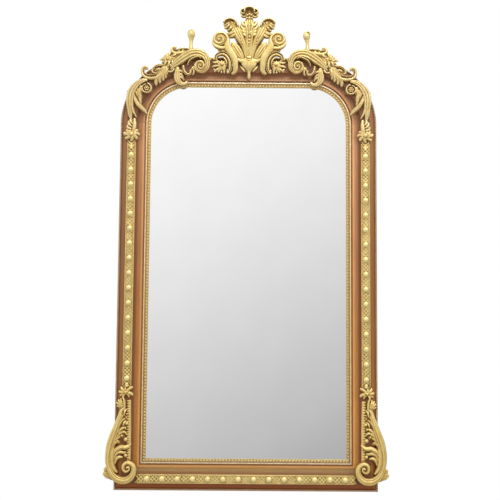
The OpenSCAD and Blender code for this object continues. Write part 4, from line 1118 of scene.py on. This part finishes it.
def star_flower():
    """The flower at the head of the pearl band, with a bent leaf above it."""
    wood, middle = Carving(), corner_at(*STAR_AT)
    for x, y, width in ((32, 9, 20), (27, -16, 20), (3, -30, 19), (-21, -22, 20), (-34, -3, 18),
                        (-28, 16, 19), (2, 24, 17), (19, 22, 16)):
        wood.lobe(middle, middle + [x, y], width, 14, 0.12, 4)
    wood.petals(middle, [(angle, 17) for angle in range(40, 400, 72)], 12, 18, 0, 3)
    wood.bead((*middle, 14), 4.5, 5)
    wood.sweep(corner_at, ((58, 17), (59, -6), (57, -26), (52, -42)), (4, 7.5, 8, 5),
               (9, 13, 14, 12), domed, 15)
    wood.sweep(corner_at, ((50, 14), (46, -10), (45, -38)), (5, 10, 11), (5, 7, 8), domed, 15, 4)
    wood.lobes(corner_at, ((47, -36, 28, -26, 14), (49, -29, 30, -10, 14), (51, -19, 36, 8, 14),
                           (52, -8, 46, 18, 14)), 13, 0.2, 5)
    return wood


class MIRROR_OT_shoulders(Piece, bpy.types.Operator):
    """Carve the shoulder sprays, corner leaves, rosettes and star flowers"""
    bl_idname = "mirror.shoulders"
    bl_label = "Shoulders"

    def execute(self, context):
        rosettes = Carving()
        for name, side in SIDES:
            carve_side(name, side, ("spray", shoulder_spray(), "shoulder_spray"),
                       ("corner_leaf", corner_leaf(), "corner_leaf"), ("star", star_flower(), "star_flower"))
            rosettes.merge(along_side(rosette(), side))
        carved("carved_rosettes", rosettes, "shoulder_rosettes")
        return {"FINISHED"}


# Lower brackets


def bracket_scroll():
    """The great scroll of a lower corner, from its tip down into the coil."""
    wood, eye = Carving(), side_at(*BRACKET_EYE)
    wood.sweep(side_at, ((30, 318), (24, 290), (13, 256), (1, 222), (-9, 193), (-16, 166), (-20, 139),
                         (-20, 112), (-14, 87), (-3, 65), (12, 49), (31, 41), (52, 42), (69, 52), (79, 69),
                         (81, 88), (73, 102), (58, 109), (45, 104), (40, 92), (44, 80), (53, 76), (63, 83),
                         (63, 93), (56, 96)),
               (5, 10, 12.5, 14, 15, 13.5, 12, 10.5, 10.5, 12, 14, 14.5, 14.5, 13.5, 11.5, 9.7, 9, 8.5,
                7.8, 7.2, 6.4, 5.6, 4.8, 3.8, 2.4),
               (10, 16, 19, 21, 22, 22, 22, 22, 22, 23, 23, 23, 23, 22, 21, 20, 20, 20, 20, 20, 20, 21, 22,
                22, 20), creased, 37)
    wood.sweep(side_at, ((-2, 184), (-3, 162), (-5, 143), (-6, 123), (-4, 104), (4, 85), (17, 71)),
               (4, 8, 9, 9.5, 9, 8, 3), (14, 18, 19, 19, 19, 18, 14), domed, 19)
    wood.boss(eye, 20, 10, 10, 13)
    wood.bead((*eye, 14), 5, 9)
    return wood


def bracket_leaves():
    """The leaves inside the bracket scroll and its ear on the outside."""
    wood = Carving()
    for run, half, height in (
            (((-1, 138), (9, 156), (28, 168), (46, 168), (59, 173), (68, 185)), (6, 9, 9.5, 9, 7, 2.5),
             (14, 18, 19, 18, 14, 9)),
            (((1, 120), (10, 142), (26, 150), (41, 148), (49, 152)), (5, 7, 7, 6, 2.5), (13, 16, 16, 13, 9)),
            (((4, 104), (12, 123), (23, 131), (37, 129)), (4, 6.5, 7, 3), (12, 15, 15, 10)),
            (((-4, 158), (-1, 177), (7, 188), (17, 186)), (5, 7.5, 8, 4), (12, 15, 15, 12))):
        wood.sweep(side_at, run, half, height, fluted(2, 0.16), 21, 6)
    wood.lobes(side_at, ((6, 192, 36, 213, 16), (10, 206, 47, 228, 16), (14, 220, 49, 245, 16),
                         (17, 238, 44, 280, 18), (22, 262, 46, 301, 17), (28, 290, 45, 328, 14),
                         (12, 196, 20, 180, 12), (34, 232, 50, 214, 11), (36, 250, 51, 272, 11),
                         (40, 290, 52, 318, 10)), 16, 0.14, 3)
    wood.sweep(side_at, ((34, 322), (32, 290), (30, 258), (27, 226), (24, 206)), (10, 17, 20, 20, 14),
               (4, 5, 5, 5, 4), crowned, 15, 4)
    # Painted shade among the leaves inside the scroll
    wood.tone(side_at, (32, 268, 24, 0.5))
    # The ear on the outside lies lower, on the edge of the frame
    wood.lobes(side_at, ((2, 92, -29, 93, 20), (0, 82, -40, 80, 24), (2, 68, -43, 62, 28),
                         (4, 58, -36, 53, 22), (6, 50, -18, 46, 18)), 11, base=-10)
    return wood


def bracket_sprig():
    """A small flower and a fan of leaves over the bracket scroll's tip."""
    wood, middle, fan = Carving(), side_at(*SPRIG_AT), side_at(35, 334)
    for d, y, width, height in ((73, 403, 15, 13), (73, 369, 16, 13), (58, 361, 12, 12), (25, 405, 15, 12),
                                (15, 387, 15, 12), (19, 370, 13, 11), (44, 406, 12, 11)):
        wood.lobe(middle, side_at(d, y), width, height, 0.08, 4)
    for d, y in ((60, 390), (34, 392), (46, 368)):
        wood.lobe(middle, side_at(d, y), 10, 17, 0, 3)
    for d, y, width in ((27, 360, 12), (16, 356, 13), (8, 345, 13), (8, 330, 13), (17, 321, 12)):
        wood.lobe(fan, side_at(d, y), width, 15, 0.12, 4)
    wood.sweep(side_at, ((42, 376), (34, 364), (38, 352), (40, 338), (40, 320), (38, 302)),
               (3, 4.5, 5, 6, 5.5, 3), (11, 15, 16, 16, 14, 9), crowned, 13)
    wood.bead((*middle, 10), 5, 7)
    return wood


def bracket_strip():
    """Narrow strip of overlapping leaves with a beaded edge, from the sprig down to the coil."""
    wood = Carving()
    wood.band(placed(side_at, ((60.5, 117), (60.5, 240), (58, 352))), 7, 4.5, domed, 13)
    for k in range(23):
        y, d = 124 + 10 * k, 60.6 - 0.1 * k
        wood.bead((*side_at(53.6 - 0.09 * k, y + 4), 2.5), 3, 5, rows=4)
        wood.lobe(side_at(d - 1, y + 8), side_at(d + 5.6, y - 4), 7.5, 5.5, base=2)
        wood.lobe(side_at(d - 1, y + 8), side_at(d - 4.6, y - 3), 6, 5, base=2)
    return wood


def bracket_berries():
    """Three large berries and a few small ones between the leaves."""
    wood = Carving()
    for z, spots in ((4, ((50, 261, 7.4), (47, 199, 9), (48, 137, 7.6))),
                     (10, ((38, 228, 5), (33, 214, 5), (46, 243, 4.6), (49, 285, 3.6), (50, 298, 3.2)))):
        for d, y, radius in spots:
            wood.bead((*side_at(d, y), z), radius, radius * 1.3)
    return wood


class MIRROR_OT_brackets(Piece, bpy.types.Operator):
    """Carve the lower bracket scrolls with their leaves, sprigs, strips and berries"""
    bl_idname = "mirror.brackets"
    bl_label = "Brackets"

    def execute(self, context):
        strips, berries = Carving(), Carving()
        for name, side in SIDES:
            carve_side(name, side, ("bracket_scroll", bracket_scroll(), "bracket_scroll"),
                       ("bracket_leaves", bracket_leaves(), "bracket_leaves"),
                       ("sprig", bracket_sprig(), "bracket_sprig"))
            strips.merge(along_side(bracket_strip(), side))
            berries.merge(along_side(bracket_berries(), side))
        carved("carved_strips", strips, "bracket_strips")
        carved("carved_berries", berries, "bracket_berries")
        return {"FINISHED"}


# Small items that are repeated along the pearl bands, the rope edge and the slip


def band_ground(run):
    """The strip under the pearls with a raised line along each edge, running along x."""
    wood = Carving()
    edge = -SEAT_W / 2
    rows = [(edge, 0), (edge, 6), (edge + 0.8, 7), (edge + 3.6, 7), (edge + 4.6, 5)]
    rows += [(-y, z) for y, z in rows[::-1]]
    walls, foot, head = tube_faces(2, len(rows))
    wood.add([[x, y, z] for x in (-run / 2, run / 2) for y, z in rows], walls + [foot, head])
    return wood


def pearl_item(radius):
    """A pearl in a raised ring."""
    wood = Carving()
    wood.bead((0, 0, 5.4), radius, radius - 1.5)
    wood.lathe((0, 0, 3), (0, 0, 1), [(radius + 4.6, 0), (radius + 4.2, 5), (radius + 3, 6.4),
                                      (radius + 1.8, 5), (radius + 0.8, 1)], turns=20)
    return wood


def lattice_item():
    """Two crossed stems of the lattice under the pearls."""
    wood = Carving()
    reach = SEAT_W / 2 - 2.4
    for side in (-1, 1):
        stem = smooth_line([(-reach, -side * reach, 4.6), (0, 0, 4.6), (reach, side * reach, 4.6)], 3)
        wood.band(stem, (1.5, 2.5, 1.5), (3, 4.2, 3), crowned, 5)
    return wood


def edge_item():
    """One bead of the edges of a pearl band."""
    wood = Carving()
    wood.bead((0, 0, 6), 2.7, 3.6, rows=2, turns=8)
    return wood


def band_bud():
    """One of the buds that end a side band."""
    wood = Carving()
    wood.bead((0, 0, 5), 7.5, 9)
    return wood


def rope_turn():
    """One slanting turn of the rope."""
    wood = Carving()
    wood.band(smooth_line([(-1.7, -3.6), (0, 0), (1.7, 3.6)], 3), (1.2, 1.7, 1.2), (4.5, 6, 4.5), crowned, 7)
    return wood


def crossed_leaves():
    """Two little leaves of the slip that cross, and the bead beside them."""
    wood = Carving()
    wood.band(smooth_line([(-5, -3.2), (-0.4, -1.2), (4.8, 3)], 3), (1, 2.4, 0.6), (1.4, 2, 1), crowned, 5)
    wood.band(smooth_line([(-3.4, 3.6), (0, 1.6), (2.6, -2.2)], 3), (0.8, 1.8, 0.5),
              (1.2, 1.6, 0.8), crowned, 5)
    wood.bead((0.6, 4.2, 0), 1.2, 1.1, rows=2, turns=8)
    return wood


class MIRROR_OT_pearl_bands(Piece, bpy.types.Operator):
    """Set the pearls, their lattice and the beaded edges along the three bands"""
    bl_idname = "mirror.pearl_bands"
    bl_label = "Pearl bands"

    def execute(self, context):
        sizes = context.scene.mirror_sizes
        gold = finish("band_gilding")
        items = [item_from(name, shape) for name, shape in (
            ("pearl_item", pearl_item(sizes.pearl / MM / 2)), ("lattice_item", lattice_item()),
            ("edge_item", edge_item()))]
        for node in ("pearl_band_left", "pearl_band_right", "pearl_band_bottom"):
            self.band(node, sizes.pearl_pitch / MM, items, gold)
        for item in items:
            bpy.data.objects.remove(item)
        return {"FINISHED"}

    def band(self, node, pitch, items, gold):
        """One band: its pearls, lattice and beaded edges on their ground."""
        pearl, lattice, bead = items
        low, high = (np.array(corner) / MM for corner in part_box(node))
        level = node.endswith("bottom")
        # The bottom band runs on under the coils, and the side bands end in buds
        start, end = low[2] - LOW_EDGE, high[2] - LOW_EDGE
        if level:
            start, end = low[0] - BAND_RUN_ON, high[0] + BAND_RUN_ON
        mid = (low + high) / 2

        def run(first, last, aside=0.0):
            """The two ends of a line along the band, aside from its middle."""
            if level:
                return [(x, mid[2] - LOW_EDGE + aside) for x in (first, last)]
            return [(mid[0] + aside, y) for y in (first, last)]

        first, last = PEARLS_ACROSS if level else PEARLS_UP
        step = (last - first) / round((last - first) / pitch)
        edge = SEAT_W / 2 - BEAD_INSET
        stems = run(start + LATTICE_ENDS[0], end - LATTICE_ENDS[1])
        edges = [run(start + BEAD_ENDS[0], end - BEAD_ENDS[1], s * edge) for s in (-1, 1)]
        # The line of pearls is a trace longer, so that rounding never drops the last one
        pearls = repeated(f"{node}_pearls", [run(first, last + 0.01)], SEAT_Z, pearl, step, gold)
        crossed = repeated(f"{node}_lattice", [stems], SEAT_Z, lattice, step / 4, gold)
        beads = repeated(f"{node}_edge", edges, SEAT_Z, bead, step / 9, gold)
        ground = band_ground(end - start)
        if not level:
            for at in [first - down for down in BUDS_BELOW] + [last + up for up in BUDS_ABOVE]:
                ground.merge(band_bud(), shift=(at - (start + end) / 2, 0))
        flat = Carving()
        flat.merge(ground, turn=0 if level else 90, shift=run((start + end) / 2, 0)[0])
        base = place(f"{node}_ground", to_mesh(node, np.vstack(flat.points), flat.faces))
        finished(pearls, gold, "ornament_gilding", node)
        for piece in (crossed, beads, base):
            finished(piece, gold, "ornament_gilding")


class MIRROR_OT_moulding(Piece, bpy.types.Operator):
    """Stain the moulding and run the rope along its outer edge"""
    bl_idname = "mirror.moulding"
    bl_label = "Moulding"

    def execute(self, context):
        dress("walnut_upright", "walnut", "stile_left", "stile_right")
        dress("walnut_foot", "walnut", "bottom_rail")
        dress("walnut_level", "walnut", "top_rail")
        dress("walnut_bent", "walnut", "corner_left", "corner_right")
        pitch = context.scene.mirror_sizes.rope_pitch
        round_frame("rope_edge", ROPE_LINE, rope_turn(), pitch, "rope_gilding", "walnut")
        return {"FINISHED"}


class MIRROR_OT_slip(Piece, bpy.types.Operator):
    """Gild the slip and set the little leaves along the sight edge"""
    bl_idname = "mirror.slip"
    bl_label = "Slip"

    def execute(self, context):
        dress("slip_gilding", "slip_gilding", "slip_left", "slip_right", "slip_bottom", "slip_top",
              "slip_corner_left", "slip_corner_right")
        pitch = context.scene.mirror_sizes.leaf_pitch
        round_frame("slip_leaves", LEAF_LINE, crossed_leaves(), pitch, "band_gilding", "slip_gilding")
        return {"FINISHED"}


class MIRROR_OT_glass(Piece, bpy.types.Operator):
    """Silver the glass"""
    bl_idname = "mirror.glass"
    bl_label = "Glass"

    def execute(self, context):
        dress("silvered_glass", "silvered_glass", "mirror_glass")
        return {"FINISHED"}


class MIRROR_OT_back(Piece, bpy.types.Operator):
    """Finish the crest board, the backing, the joinery and the hangers"""
    bl_idname = "mirror.back"
    bl_label = "Back"

    def execute(self, context):
        dress("board_gilding", "board_gilding", "crest_board")
        dress("aged_pine", "backing_pine", "backing_board", "crest_batten")
        dress("bare_pine", "joinery_pine", "mitre_keys", "corner_dowels", "glazing_blocks")
        dress("zinc_plate", "hanger_steel", "hanger_plates")
        dress("zinc_plate", "screw_steel", "backing_screws", "hanger_screws", "crest_screws")
        return {"FINISHED"}


# Studio: a pale floor, two soft lamps, a white surround and the camera of the photograph

FLOOR_DROP = 420   # millimetres under the frame
FLOOR = ((-2.4, -2.8), (2.4, -2.8), (2.4, 1.8), (-2.4, 1.8))
LAMPS = (("key", (0.4, -2.6, 3.2), 1.6, 70), ("fill", (2.6, -2.4, 0.8), 1.8, 20))
AIM = (0, 0, -0.2)   # what the lamps look at
SURROUND = 0.76   # strength of the light from all round
# What the glass and the gold mirror: a room that pales upwards and towards the left
ROOM = ((0.3, "#8C8C8C"), (0.4, "#B0B0B0"), (0.433, "#C1C1C2"), (0.46, "#CACACA"), (0.515, "#DEDEDE"),
        (0.571, "#F0F0F0"), (0.61, "#F9F9F9"), (0.64, "#FFFFFF"))
ROOM_LEAN = -0.5   # how much the way to the right lowers a place in that room
CAMERA_AT = (3.3, -3600, 642)   # across, out and up from the foot of the frame, in millimetres
CAMERA_TURN = (4.94, 0.101, -0.428)   # pitch, yaw and roll in degrees
LENS = 64.12


def chosen(tree, ray, otherwise, shown):
    """One shader for the named kind of ray and another for the rest."""
    path = add(tree, "ShaderNodeLightPath")
    return add(tree, "ShaderNodeMixShader", {0: path.outputs[ray], 1: otherwise, 2: shown}).outputs[0]


def glow(tree, kind, colour, strength=1.0):
    """A shader that gives off light by itself."""
    return add(tree, kind, {"Color": colour, "Strength": strength}).outputs[0]


def set_floor():
    """Pale matt floor that stays white to the camera and keeps the shadow of the object."""
    mesh = bpy.data.meshes.new("floor")
    mesh.from_pydata([(x, y, (LOW_EDGE - FLOOR_DROP) * MM) for x, y in FLOOR], [], [(0, 1, 2, 3)])
    material, tree, at = new_finish("studio_floor")
    speck = graded(tree, noise(tree, at, size_mm=60), [(0.3, linear("#BEBEBD")), (0.7, linear("#C8C8C7"))])
    matt = add(tree, "ShaderNodeBsdfDiffuse", {"Color": speck}).outputs[0]
    dim = add(tree, "ShaderNodeBsdfDiffuse", {"Color": linear("#8A8A89")}).outputs[0]
    seen = glow(tree, "ShaderNodeEmission", linear("#FFFFFF"), 0.8)
    direct = add(tree, "ShaderNodeAddShader", {0: seen, 1: dim}).outputs[0]
    mirrored = glow(tree, "ShaderNodeEmission", linear("#BDBDBD"))
    surface = chosen(tree, "Is Glossy Ray", chosen(tree, "Is Camera Ray", matt, direct), mirrored)
    add(tree, "ShaderNodeOutputMaterial", {"Surface": surface})
    mesh.materials.append(material)
    place("floor", mesh)


def set_surround():
    """White to the camera, a softer white as light, and a graded room in reflections."""
    world = bpy.data.worlds.new("studio")
    bpy.context.scene.world = world
    world.use_nodes = True
    tree = world.node_tree
    tree.nodes.clear()
    way = add(tree, "ShaderNodeTexCoord").outputs["Generated"]
    parts = add(tree, "ShaderNodeSeparateXYZ", {"Vector": way}).outputs
    height = total_of(tree, parts["Z"], (parts["X"], ROOM_LEAN))
    room = graded(tree, spread(tree, height, -1, 1), [(share, linear(grey)) for share, grey in ROOM])
    around, reflected, white = (glow(tree, "ShaderNodeBackground", colour, strength) for colour, strength in (
        (linear("#FFFFFF"), SURROUND), (room, 1.0), (linear("#FFFFFF"), 1.0)))
    surface = chosen(tree, "Is Camera Ray", chosen(tree, "Is Glossy Ray", around, reflected), white)
    add(tree, "ShaderNodeOutputWorld", {"Surface": surface})


def set_lamps():
    """Two soft lamps that look at the upper half of the glass."""
    for name, spot, size, power in LAMPS:
        lamp = bpy.data.lights.new(name, "AREA")
        lamp.size, lamp.energy = size, power
        holder = place(name, lamp)
        holder.location = spot
        holder.rotation_euler = (Vector(AIM) - Vector(spot)).to_track_quat("-Z", "Y").to_euler()


def set_camera():
    """The camera of the photograph: low in front, looking a little up."""
    lens = bpy.data.cameras.new("camera")
    lens.lens, lens.sensor_width, lens.clip_end = LENS, 36, 60
    camera = place("camera", lens)
    pitch, yaw, roll = (math.radians(a) for a in CAMERA_TURN)
    ahead = Vector((math.sin(yaw) * math.cos(pitch), math.cos(yaw) * math.cos(pitch), math.sin(pitch)))
    right = Vector((math.cos(yaw), -math.sin(yaw), 0))
    up = right.cross(ahead)
    tilted = right * math.cos(roll) - up * math.sin(roll)
    upward = right * math.sin(roll) + up * math.cos(roll)
    x, y, z = CAMERA_AT
    axes = Matrix((tilted, upward, -ahead)).transposed()
    camera.matrix_world = Matrix.Translation((x * MM, y * MM, (z + LOW_EDGE) * MM)) @ axes.to_4x4()
    bpy.context.scene.camera = camera


class MIRROR_OT_studio(Piece, bpy.types.Operator):
    """Set up the floor, the lamps, the surroundings and the camera"""
    bl_idname = "mirror.studio"
    bl_label = "Studio"

    def execute(self, context):
        set_floor()
        set_surround()
        set_lamps()
        set_camera()
        context.scene.view_settings.view_transform = "Standard"
        return {"FINISHED"}


class MIRROR_PT_panel(bpy.types.Panel):
    """Lists the pieces of the mirror"""
    bl_idname = "MIRROR_PT_panel"
    bl_label = "Gilded wall mirror"
    bl_space_type = "VIEW_3D"
    bl_region_type = "UI"
    bl_category = "Mirror"

    def draw(self, context):
        for group in (context.scene.mirror_sizes, context.scene.mirror_colours):
            for name in group.__annotations__:
                self.layout.prop(group, name)
        for operator in OPERATORS:
            self.layout.operator(operator.bl_idname)


OPERATORS = (MIRROR_OT_moulding, MIRROR_OT_slip, MIRROR_OT_glass, MIRROR_OT_pearl_bands, MIRROR_OT_crest,
             MIRROR_OT_wings, MIRROR_OT_shoulders, MIRROR_OT_brackets, MIRROR_OT_back, MIRROR_OT_studio)
CLASSES = (MirrorSizes, MirrorColours) + OPERATORS + (MIRROR_PT_panel,)


def register():
    for item in CLASSES:
        bpy.utils.register_class(item)
    bpy.types.Scene.mirror_sizes = PointerProperty(type=MirrorSizes)
    bpy.types.Scene.mirror_colours = PointerProperty(type=MirrorColours)


def unregister():
    del bpy.types.Scene.mirror_colours
    del bpy.types.Scene.mirror_sizes
    for item in reversed(CLASSES):
        bpy.utils.unregister_class(item)


def main():
    register()
    for operator in OPERATORS:
        group, name = operator.bl_idname.split(".")
        getattr(getattr(bpy.ops, group), name)()


if __name__ == "__main__":
    main()
